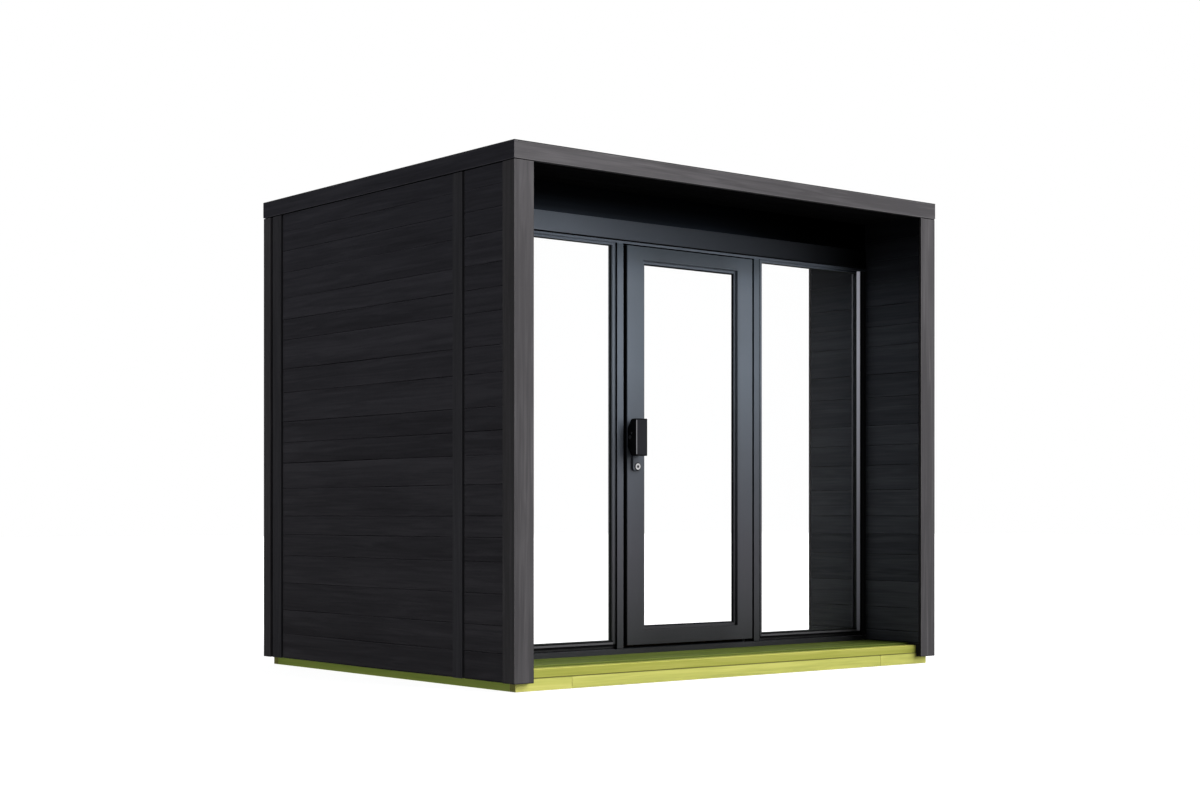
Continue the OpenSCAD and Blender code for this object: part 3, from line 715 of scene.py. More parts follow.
class Bench:
    """The workbench: modelling steps that are used for many pieces."""

    @staticmethod
    def take(*pieces: bpy.types.Object) -> None:
        """Selects only these objects, the first one active.

        Args:
            pieces: The objects.
        """
        bpy.ops.object.select_all(action="DESELECT")
        for piece in pieces:
            piece.select_set(True)
        bpy.context.view_layer.objects.active = pieces[0]

    @staticmethod
    @contextmanager
    def editing(piece: bpy.types.Object, mode: str = "EDGE") -> Iterator[None]:
        """Edit mode on one object, with nothing selected.

        Args:
            piece: The object.
            mode: VERT, EDGE or FACE.
        """
        Bench.take(piece)
        bpy.ops.object.mode_set(mode="EDIT")
        bpy.ops.mesh.select_mode(type=mode)
        bpy.ops.mesh.select_all(action="DESELECT")
        yield
        bpy.ops.object.mode_set(mode="OBJECT")

    @staticmethod
    def pick(piece: bpy.types.Object, kind: str, test: Callable[..., bool]) -> int:
        """Selects parts of the mesh that is being edited.

        Args:
            piece: The object in edit mode.
            kind: "verts", "edges" or "faces".
            test: Says whether one is wanted, from a corner's place, an edge's two ends or a
                face's middle and normal.

        Returns:
            How many are selected.
        """
        mesh = bmesh.from_edit_mesh(piece.data)
        traits = {"verts": lambda vert: (vert.co,),
                  "edges": lambda edge: (edge.verts[0].co, edge.verts[1].co),
                  "faces": lambda face: (face.calc_center_median(), face.normal)}[kind]
        picked = [item for item in getattr(mesh, kind) if test(*traits(item))]
        for item in picked:
            item.select_set(True)
        bmesh.update_edit_mesh(piece.data)
        return len(picked)

    @staticmethod
    def block(name: str, box: Box) -> bpy.types.Object:
        """A block at its size and place.

        Args:
            name: The object's name.
            box: Its limits.

        Returns:
            The object.
        """
        bpy.ops.object.select_all(action="DESELECT")
        bpy.ops.mesh.primitive_cube_add(size=1.0, location=box.centre)
        piece = bpy.context.object
        piece.name = name
        piece.scale = box.size
        bpy.ops.object.transform_apply(location=True, rotation=True, scale=True)
        return piece

    @staticmethod
    def ease(piece: bpy.types.Object, test: Callable[[Vector, Vector], bool], width: float,
             segments: int = MEDIUM) -> None:
        """Rounds chosen edges.

        Args:
            piece: The object.
            test: Says from an edge's two ends whether it is rounded.
            width: The width of the rounding.
            segments: The steps across it.
        """
        with Bench.editing(piece):
            if Bench.pick(piece, "edges", test):
                bpy.ops.mesh.bevel(offset=width, segments=segments, profile=0.5, affect="EDGES",
                                   clamp_overlap=True)

    @staticmethod
    def rod(name: str, centre: Vector, radius: float, length: float,
            turn: Triple, sides: int) -> bpy.types.Object:
        """A cylinder at its size and place.

        Args:
            name: The object's name.
            centre: Its middle.
            radius: Its radius.
            length: Its length.
            turn: The rotation that turns it from Z to its own axis.
            sides: The flat sides that stand for its round one.

        Returns:
            The object.
        """
        bpy.ops.object.select_all(action="DESELECT")
        bpy.ops.mesh.primitive_cylinder_add(vertices=sides, radius=radius, depth=length,
                                            location=centre, rotation=turn)
        piece = bpy.context.object
        piece.name = name
        bpy.ops.object.transform_apply(location=True, rotation=True, scale=True)
        return piece

    @staticmethod
    def cut(piece: bpy.types.Object, point: Vector, normal: Vector) -> None:
        """Cuts new edges round the object where a plane meets it.

        Args:
            piece: The object.
            point: A point of the plane.
            normal: The plane's normal.
        """
        with Bench.editing(piece):
            bpy.ops.mesh.select_all(action="SELECT")
            bpy.ops.mesh.bisect(plane_co=point, plane_no=normal)

    @staticmethod
    def copy(piece: bpy.types.Object, name: str, shift: Vector) -> bpy.types.Object:
        """A copy with its own mesh, moved in its mesh.

        Args:
            piece: The object to copy.
            name: The copy's name.
            shift: How far its mesh is moved.

        Returns:
            The copy.
        """
        twin = piece.copy()
        twin.data = piece.data.copy()
        twin.name = name
        bpy.context.scene.collection.objects.link(twin)
        twin.data.transform(Matrix.Translation(shift))
        return twin

    @staticmethod
    def join(name: str, pieces: Sequence[bpy.types.Object]) -> bpy.types.Object:
        """One object from several.

        Args:
            name: The new name.
            pieces: The objects, of which the first is kept.

        Returns:
            The joined object.
        """
        if len(pieces) > 1:
            Bench.take(*pieces)
            bpy.ops.object.join()
        pieces[0].name = name
        pieces[0].data.name = name
        return pieces[0]

    @staticmethod
    def tag(piece: bpy.types.Object, name: str, value: Callable[[Vector, Vector], float]) -> None:
        """Writes a number on each face, for the finish to read.

        Args:
            piece: The object.
            name: The attribute's name.
            value: Gives the number from a face's middle and normal.
        """
        mesh = piece.data
        layer = mesh.attributes.get(name) or mesh.attributes.new(name, "FLOAT", "FACE")
        for item, polygon in zip(layer.data, mesh.polygons):
            item.value = value(polygon.center, polygon.normal)

    @staticmethod
    def fade(piece: bpy.types.Object, name: str, share: float) -> None:
        """Scales a number that each face carries.

        Args:
            piece: The object.
            name: The attribute's name.
            share: The share that is kept.
        """
        for item in piece.data.attributes[name].data:
            item.value *= share

    @staticmethod
    def paint_foot_shade(piece: bpy.types.Object, height: float) -> None:
        """Marks a strip along the foot of a piece with painted shade.

        Args:
            piece: The object.
            height: The top of the strip.
        """
        Bench.cut(piece, UP * height, UP)
        layer = piece.data.attributes["painted_shade"]
        for item, polygon in zip(layer.data, piece.data.polygons):
            if polygon.center.z < height:
                item.value = FOOT_SHADE

    @staticmethod
    def twin_of(name: str, node: str) -> bpy.types.Object:
        """A merged copy of a CAD node, ready to be shaped further.

        Args:
            name: The copy's name.
            node: The node to copy.

        Returns:
            The object.
        """
        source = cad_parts[node]
        piece = bpy.data.objects.new(name, source.data.copy())
        bpy.context.scene.collection.objects.link(piece)
        piece.data.materials.clear()
        with Bench.editing(piece, "VERT"):
            bpy.ops.mesh.select_all(action="SELECT")
            bpy.ops.mesh.remove_doubles(threshold=TOUCH)
            bpy.ops.mesh.dissolve_limited(angle_limit=FLAT_ANGLE)
        return piece

    @staticmethod
    def round_all(piece: bpy.types.Object, width: float, segments: int = MEDIUM) -> None:
        """Rounds every sharp edge with a bevel modifier, which is then applied.

        Args:
            piece: The object.
            width: The width of the rounding.
            segments: The steps across it.
        """
        Bench.take(piece)
        bevel = piece.modifiers.new("arris", "BEVEL")
        bevel.width = width
        bevel.segments = segments
        bevel.limit_method = "ANGLE"
        bevel.angle_limit = SHARP_ANGLE
        bevel.harden_normals = False
        bpy.ops.object.modifier_apply(modifier=bevel.name)

    @staticmethod
    def ring(name: str, outer: Box, opening: Box, splay: float = 0.0) -> bpy.types.Object:
        """A rectangular ring in the plane of the front wall.

        Args:
            name: The object's name.
            outer: Its outer limits, and its depth along Y.
            opening: The limits of its opening along X and Z.
            splay: How far the front of the opening slopes back from it.

        Returns:
            The object.
        """
        bpy.ops.object.select_all(action="DESELECT")
        middle = outer.centre
        bpy.ops.mesh.primitive_plane_add(size=1.0, location=(middle.x, outer.high.y, middle.z),
                                         rotation=(math.pi / 2, 0.0, 0.0))
        piece = bpy.context.object
        piece.name = name
        piece.scale = (outer.size.x, outer.size.z, 1.0)
        bpy.ops.object.transform_apply(location=True, rotation=True, scale=True)
        margin = min(outer.size.x, outer.size.z) / 4
        inner = outer.size - Vector((2 * margin, 0.0, 2 * margin))
        with Bench.editing(piece, "FACE"):
            bpy.ops.mesh.select_all(action="SELECT")
            bpy.ops.mesh.inset(thickness=margin)
            bpy.ops.transform.resize(
                value=(opening.size.x / inner.x, 1.0, opening.size.z / inner.z),
                center_override=(middle.x, outer.high.y, middle.z))
            bpy.ops.transform.translate(value=(
                opening.centre.x - middle.x, 0.0, opening.centre.z - middle.z))
            bpy.ops.mesh.delete(type="FACE")
            bpy.ops.mesh.select_all(action="SELECT")
            bpy.ops.mesh.extrude_region_move(
                TRANSFORM_OT_translate={"value": (0.0, -outer.size.y, 0.0)})
        if splay > 0.0:
            with Bench.editing(piece, "VERT"):
                Bench.pick(piece, "verts", lambda spot: spot.y < outer.low.y + TOUCH
                           and abs(spot.x - opening.centre.x) < opening.size.x / 2 + TOUCH
                           and abs(spot.z - opening.centre.z) < opening.size.z / 2 + TOUCH)
                bpy.ops.transform.resize(
                    value=(1.0 + 2 * splay / opening.size.x, 1.0,
                           1.0 + 2 * splay / opening.size.z),
                    center_override=opening.centre)
        with Bench.editing(piece, "FACE"):
            bpy.ops.mesh.select_all(action="SELECT")
            bpy.ops.mesh.normals_make_consistent(inside=False)
        return piece

    @staticmethod
    def finished(piece: bpy.types.Object, body: Body, finish: Finish,
                 replaces: Sequence[str] = ()) -> bpy.types.Object:
        """Hands a piece over: its finish, body and the CAD nodes that it stands for.

        Args:
            piece: The object.
            body: The body that it rides on.
            finish: Its finish.
            replaces: The CAD nodes that it stands for.

        Returns:
            The same object.
        """
        Bench.take(piece)
        bpy.ops.object.shade_smooth_by_angle(angle=SMOOTH_ANGLE)
        weighted = piece.modifiers.new("flat_faces", "WEIGHTED_NORMAL")
        weighted.weight = FACE_WEIGHT
        weighted.keep_sharp = True
        bpy.ops.object.modifier_apply(modifier=weighted.name)
        piece.data.materials.clear()
        piece.data.materials.append(finish.material())
        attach(piece, body.value)
        if replaces:
            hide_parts(*replaces)
        log.info("%s: %d faces on %s", piece.name, len(piece.data.polygons), body.value)
        return piece


@dataclass
class Boards:
    """A field of boards laid side by side, all with one profile.

    The field's box is the space that the boards fill. They run along one axis, lie side by side
    along another and show their face on the side that outward points to.
    """

    name: str
    box: Box
    run: Axis
    across: Axis
    outward: Vector
    seams: Sequence[float]
    gap: float = 0.002
    arris: float = 0.003
    wave: float = 0.0
    seed: int = 1
    # Painted light: light_edge, a highlight on upper edges; dark_side, shade on lower ones.
    light_edge: bool = True
    tight_above: float = math.inf
    foot_shade: float = 0.0
    lengths: int = 8
    dark_side: float = 0.8
    gap_shares: Pair = (0.35, 1.0)
    tight_share: float = 0.15
    edge_shares: Pair = (0.25, 1.0)
    shade_shares: Pair = (0.1, 1.0)

    def board(self) -> bpy.types.Object:
        """Models one board: a block with its face edges rounded.

        Returns:
            The board, whose width is 1 m so that it can be set later.
        """
        across, out = self.across.value, self.outward
        piece = Bench.block(self.name, self.box.limited(self.across, 0.0, 1.0))
        face = max(self.box.low.dot(out), self.box.high.dot(out))

        def on_face(point: Vector) -> bool:
            """Whether a point lies on the face that shows."""
            return point.dot(out) > face - TOUCH

        Bench.ease(piece, lambda a, b: on_face(a) and on_face(b), self.arris)
        along = Vector()
        along[self.run.value] = 1.0
        for cut in range(1, self.lengths):
            point = self.box.low.lerp(self.box.high, cut / self.lengths)
            Bench.cut(piece, point, along)
        behind = face - self.arris - TOUCH

        def turned(middle: Vector, normal: Vector, way: float) -> float:
            """1 on the rounded edges along the run that face one way across the boards."""
            eased = abs(normal.dot(out)) < SQUARE and SLIGHT < normal[across] * way < SQUARE
            return float(eased and middle.dot(out) > behind and self.light_edge)

        # Painted highlight on the upper rounded edges, painted shade on the lower ones.
        Bench.tag(piece, "edge", lambda middle, normal: turned(middle, normal, 1.0))
        Bench.tag(piece, "painted_shade",
                  lambda middle, normal: self.dark_side * turned(middle, normal, -1.0))
        return piece

    def lay(self) -> bpy.types.Object:
        """Copies the board to each place in the field.

        Returns:
            All the boards, joined.
        """
        draw = random.Random(self.seed)
        first = self.board()
        across = self.across.value
        gaps = [self.gap * (draw.uniform(*self.gap_shares) if seam < self.tight_above
                            else self.tight_share) for seam in self.seams]
        boards = []
        for number, (low, high) in enumerate(zip(self.seams, self.seams[1:])):
            board = Bench.copy(first, f"{self.name}_{number}", Vector())
            width = high - low - (gaps[number] + gaps[number + 1]) / 2
            phase, drift = draw.uniform(0.0, math.tau), draw.uniform(0.0, self.wave)
            for vert in board.data.vertices:
                place = vert.co[across]
                inset = min(place, 1.0 - place)
                from_low = place < 0.5
                set_in = low + gaps[number] / 2 + (inset if from_low else width - inset)
                share = ((vert.co[self.run.value] - self.box.low[self.run.value])
                         / self.box.size[self.run.value])
                vert.co[across] = set_in + math.sin(share * math.tau + phase) * drift
            tone = draw.random()
            Bench.tag(board, "tone", lambda middle, normal, tone=tone: tone)
            Bench.fade(board, "edge", draw.uniform(*self.edge_shares))
            Bench.fade(board, "painted_shade", draw.uniform(*self.shade_shares) ** 2)
            boards.append(board)
        bpy.data.objects.remove(first)
        # Painted shadow along the foot of the lowest board.
        if self.foot_shade > 0.0:
            Bench.paint_foot_shade(boards[0], self.seams[0] + self.foot_shade)
        return Bench.join(self.name, boards)


def even_seams(low: float, high: float, pitch: float) -> list[float]:
    """The edges of equal boards that fill a width.

    Args:
        low: Where the first board starts.
        high: Where the last one ends.
        pitch: The width that each board is to have, as nearly as it can.

    Returns:
        The edges in order.
    """
    count = max(1, round((high - low) / pitch))
    return [low + (high - low) * i / count for i in range(count + 1)]


def mark_arrises(piece: bpy.types.Object) -> None:
    """Marks the rounded edges' faces, which look along no axis, for painted highlight."""
    Bench.tag(piece, "edge", lambda middle, normal: float(max(map(abs, normal)) < SQUARE))


def planks(name: str, node: str, finish: Finish, arris: float,
           segments: int = MEDIUM) -> bpy.types.Object:
    """Planks in the places of a node's solids, each with rounded edges and its own tone.

    Args:
        name: The piece's name.
        node: The CAD node that the planks stand for.
        finish: Their finish.
        arris: The width of the rounding.
        segments: The steps across it.

    Returns:
        The finished piece.
    """
    draw = random.Random(name)
    made = []
    for number, box in enumerate(solid_boxes(node)):
        plank = Bench.block(f"{name}_{number}", box)
        Bench.round_all(plank, arris, segments)
        tone = draw.random()
        Bench.tag(plank, "tone", lambda middle, normal, tone=tone: tone)
        mark_arrises(plank)
        made.append(plank)
    return Bench.finished(Bench.join(name, made), Body.CABIN, finish, (node,))


def refined(name: str, node: str, finish: Finish, arris: float, segments: int = MEDIUM,
            body: Body = Body.CABIN) -> bpy.types.Object:
    """A merged copy of a CAD node with every sharp edge rounded.

    Args:
        name: The piece's name.
        node: The CAD node that it stands for.
        finish: Its finish.
        arris: The width of the rounding.
        segments: The steps across it.
        body: The body that it rides on.

    Returns:
        The finished piece.
    """
    piece = Bench.twin_of(name, node)
    Bench.round_all(piece, arris, segments)
    mark_arrises(piece)
    return Bench.finished(piece, body, finish, (node,))


def kept(node: str, finish: Finish) -> None:
    """Gives a CAD node that stays its finish.

    Args:
        node: The node.
        finish: Its finish.
    """
    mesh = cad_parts[node].data
    mesh.materials.clear()
    mesh.materials.append(finish.material())
    log.info("%s: kept, %s", node, finish.name)


# ------------------------------------------------------------------ sub-assemblies


@dataclass
class Groundwork:
    """The base frame and the porch deck, in green timber."""

    base_arris: float = 0.003
    nosing_arris: float = 0.0035
    deck_arris: float = 0.004
    joint_shade: float = 0.7

    def build(self) -> None:
        """Lays the base boards and the deck boards."""
        along, back = green_timber(Axis.X), base_side_timber()
        front = planks("base_front", "base_front_boards", along, self.base_arris)
        planks("base_sides", "base_side_boards", back, self.base_arris)
        planks("base_rear", "base_rear_board", along, self.base_arris)
        nosing = planks("deck_edge", "deck_nosing", nosing_timber(), self.nosing_arris, FINE)
        planks("deck_boards", "porch_deck", deck_timber(), self.deck_arris, FINE)
        kept("base_joists", back)
        # Painted shade in the joint between the base front and the deck's edge.
        joint = node_box("deck_nosing").low.z
        for piece in (front, nosing):
            Bench.tag(piece, "painted_shade", lambda middle, normal: self.joint_shade * float(
                abs(middle.z - joint) < self.nosing_arris and SLIGHT < abs(normal.z) < SQUARE))


@dataclass
class Shell:
    """The outside walls: corner posts, board cladding and flat uprights."""

    seams: tuple[float, ...] = (
        0.172, 0.299, 0.444, 0.590, 0.702, 0.800, 0.946, 1.082, 1.192, 1.302, 1.458, 1.584, 1.740,
        1.849, 1.963, 2.100, 2.214, 2.318)
    arris: float = 0.0028
    gap: float = 0.002
    wave: float = 0.0008
    least_board: float = 0.03
    tight_above: float = 2.05
    foot_shade: float = 0.006
    post_arris: float = 0.003
    post_foot: float = 0.004
    post_shade: float = 0.75
    reveal: float = 0.002
    rear_arris: float = 0.0012
    upright_arris: float = 0.002

    def edges(self, low: float, high: float) -> list[float]:
        """The board edges between two heights.

        Args:
            low: The lowest height.
            high: The highest height.

        Returns:
            The heights in order, with both limits.
        """
        inside = [z for z in self.seams if low + self.least_board < z < high - self.least_board]
        return [low, *inside, high]

    def field(self, name: str, box: Box, run: Axis, outward: Vector) -> bpy.types.Object:
        """A field of horizontal boards.

        Args:
            name: The field's name.
            box: The space that it fills.
            run: The axis along which its boards run.
            outward: Where its face looks.

        Returns:
            The boards.
        """
        seams = self.edges(box.low.z, box.high.z)
        return Boards(name, box, run, Axis.Z, outward, seams, self.gap, self.arris, self.wave,
                      seed=sum(map(ord, name)), tight_above=self.tight_above,
                      foot_shade=self.foot_shade).lay()

    def build(self) -> None:
        """Clads the four sides."""
        for side, way in (("left", -1.0), ("right", 1.0)):
            outward = Vector((way, 0.0, 0.0))
            boxes = [b for b in solid_boxes("side_cladding") if b.centre.dot(outward) > 0.0]
            fields = [self.field(f"{side}_field_{i}", box, Axis.Y, outward)
                      for i, box in enumerate(boxes)]
            Bench.finished(Bench.join(f"{side}_boards", fields), Body.CABIN,
                           dark_timber(Axis.Y), ("side_cladding",))
        rear = self.field("rear_boards", node_box("rear_cladding"), Axis.X, Vector((0.0, 1.0, 0.0)))
        Bench.finished(rear, Body.CABIN, dark_timber(Axis.X), ("rear_cladding",))
        upright = dark_timber(Axis.Z)
        front = refined("front_corner_posts", "front_posts", upright, self.post_arris)
        inner = solid_boxes("front_posts")[1].low.x
        # Painted highlight on the posts' forward-left and upward rounded edges.
        Bench.tag(front, "edge", lambda middle, normal: float(
            normal.x < -SLIGHT and normal.y < -SLIGHT
            or abs(normal.x) < SLIGHT and SLIGHT < normal.z < SQUARE))
        # Painted shade on the right-and-forward rounded edges and the opening's side faces.
        Bench.tag(front, "painted_shade", lambda middle, normal: self.post_shade * float(
            SLIGHT < normal.x < SQUARE and normal.y < -SLIGHT) + float(
                abs(abs(middle.x) - inner) < self.reveal and abs(normal.x) > SQUARE))
        # Painted shadow along the foot of the front posts.
        Bench.paint_foot_shade(front, node_box("front_posts").low.z + self.post_foot)
        refined("rear_corner_posts", "rear_posts", upright, self.rear_arris)
        planks("side_uprights", "side_trims", upright_timber(), self.upright_arris)
        planks("rear_uprights", "rear_trims", upright_timber(), self.upright_arris)
        # The cores show in the grooves; their near-black finish is painted shade there.
        for node, run in (("left_wall", Axis.Y), ("right_wall", Axis.Y), ("rear_wall", Axis.X)):
            kept(node, black_timber(run))


@dataclass
class Porch:
    """The inner faces of the porch: boarded sides, a soffit and a lintel."""

    shell: Shell
    soffit_pitch: float = 0.118
    lintel_arris: float = 0.002

    def build(self) -> None:
        """Lines the porch."""
        fields = []
        for box in solid_boxes("porch_linings"):
            outward = Vector((-math.copysign(1.0, box.centre.x), 0.0, 0.0))
            side = "left" if box.centre.x < 0.0 else "right"
            fields.append(self.shell.field(f"{side}_lining", box, Axis.Y, outward))
        Bench.finished(Bench.join("porch_boards", fields), Body.CABIN, porch_timber(),
                       ("porch_linings",))
        box = node_box("porch_soffit")
        seams = even_seams(box.low.y, box.high.y, self.soffit_pitch)
        soffit = Boards("soffit_boards", box, Axis.X, Axis.Y, -UP, seams,
                        light_edge=False).lay()
        Bench.finished(soffit, Body.CABIN, black_timber(Axis.X), ("porch_soffit",))
        refined("lintel_board", "lintel_panel", lintel_timber(), self.lintel_arris)


@dataclass
class Roof:
    """The fascias, their metal capping and the roof sheet with its laps."""

    fascia_arris: float = 0.0025
    rear_arris: float = 0.002
    metal_arris: float = 0.0008
    shade_strip_inset: float = 0.003
    sheet_t: float = 0.003
    laps: int = 3
    lap_width: float = 0.06
    lap_height: float = 0.0015
    lap_sunk: float = 0.0005
    lap_start: float = 0.002
    lap_stop: float = 0.04
    lap_fall: float = 0.985
    lap_rounding: float = 0.6

    def build(self) -> None:
        """Covers the cabin."""
        for name, node, run, arris, steps in (
                ("fascia_front", "front_fascia", Axis.X, self.fascia_arris, FINE),
                ("fascia_sides", "side_fascias", Axis.Y, self.fascia_arris, FINE),
                ("fascia_rear", "rear_fascia", Axis.X, self.rear_arris, MEDIUM)):
            fascia = refined(name, node, dark_timber(run), arris, steps)
            # Painted shade on the fascias' undersides.
            Bench.tag(fascia, "painted_shade", lambda middle, normal: float(normal.z < -SQUARE))
        self.shadow_gap_strips()
        refined("roof_capping", "roof_edge_trim", BLACK_COAT, self.metal_arris)
        kept("roof_panel", black_timber(Axis.X))
        refined("roof_sheet", "roof_membrane", ROOF_SHEET, self.metal_arris)
        self.lap_seams()

    def shadow_gap_strips(self) -> None:
        """Fills the gap between the walls and the fascias with black strips: painted shade."""
        fascia, walls = node_box("side_fascias"), node_box("side_cladding")
        core, post = node_box("roof_panel"), node_box("front_posts")
        low, high = walls.high.z, fascia.low.z
        edge = post.high.x - self.shade_strip_inset
        rear_y = node_box("rear_posts").high.y - self.shade_strip_inset
        boxes = []
        for way in (-1.0, 1.0):
            for near, far, y in (
                    (solid_boxes("front_posts")[1].low.x, edge,
                     (post.low.y + self.shade_strip_inset, core.low.y)),
                    (core.high.x, edge, (core.low.y, post.high.y)),
                    (core.high.x, walls.high.x - self.shade_strip_inset, (post.high.y, rear_y))):
                boxes.append(Box.between((near * way, far * way), y, (low, high)))
        boxes.append(Box.between((core.low.x, core.high.x), (core.high.y, rear_y), (low, high)))
        shade_strips = [Bench.block(f"tape_{i}", box) for i, box in enumerate(boxes)]
        Bench.finished(Bench.join("fascia_shadow_strips", shade_strips), Body.CABIN, BLACK_RUBBER)

    def lap_seams(self) -> None:
        """Lays the raised laps between the widths of the roof sheet."""
        box = node_box("roof_membrane")
        fall = box.size.z - self.sheet_t
        first = Bench.block("lap", Box.between(
            (-self.lap_width / 2, self.lap_width / 2),
            (box.low.y + self.lap_start, box.high.y - self.lap_stop),
            (box.high.z - self.lap_sunk, box.high.z + self.lap_height)))
        Bench.ease(first, lambda a, b: min(a.z, b.z) > box.high.z,
                   self.lap_height * self.lap_rounding)
        with Bench.editing(first, "VERT"):
            Bench.pick(first, "verts", lambda spot: spot.y > 0.0)
            bpy.ops.transform.translate(value=(0.0, 0.0, -fall * self.lap_fall))
        pitch = box.size.x / (self.laps + 1)
        laps = [Bench.copy(first, f"lap_{i}", Vector((box.low.x + pitch * (i + 1), 0.0, 0.0)))
                for i in range(self.laps)]
        bpy.data.objects.remove(first)
        Bench.finished(Bench.join("roof_laps", laps), Body.CABIN, ROOF_SHEET)


@dataclass
class Glazing:
    """A glass unit: two panes with a spacer, and the rubber seal in front of it."""

    pane_t: float = 0.006
    spacer_w: float = 0.012
    spacer_inset: float = 0.004
    seal_w: float = 0.005
    seal_t: float = 0.005
    arris: float = 0.0008

    def panes(self, name: str, box: Box) -> bpy.types.Object:
        """The two panes of a unit.

        Args:
            name: The object's name.
            box: The unit's limits.

        Returns:
            The panes, joined.
        """
        front = Bench.block(name, box.limited(Axis.Y, box.low.y, box.low.y + self.pane_t))
        Bench.round_all(front, self.arris)
        back = Bench.copy(front, f"{name}_back", Vector((0.0, box.size.y - self.pane_t, 0.0)))
        return Bench.join(name, [front, back])

    def spacer(self, name: str, box: Box) -> bpy.types.Object:
        """The spacer between the panes.

        Args:
            name: The object's name.
            box: The unit's limits.

        Returns:
            The ring.
        """
        outer = box.shrunk(self.spacer_inset).limited(
            Axis.Y, box.low.y + self.pane_t, box.high.y - self.pane_t)
        return Bench.ring(name, outer, outer.shrunk(self.spacer_w))

    def seal(self, name: str, opening: Box, glass_y: float) -> bpy.types.Object:
        """The rubber seal on the glass, round the inside of an opening.

        Args:
            name: The object's name.
            opening: The opening's limits along X and Z.
            glass_y: Where the glass starts.

        Returns:
            The ring.
        """
        outer = opening.limited(Axis.Y, glass_y - self.seal_t, glass_y)
        return Bench.ring(name, outer, outer.shrunk(self.seal_w), splay=self.seal_w / 2)


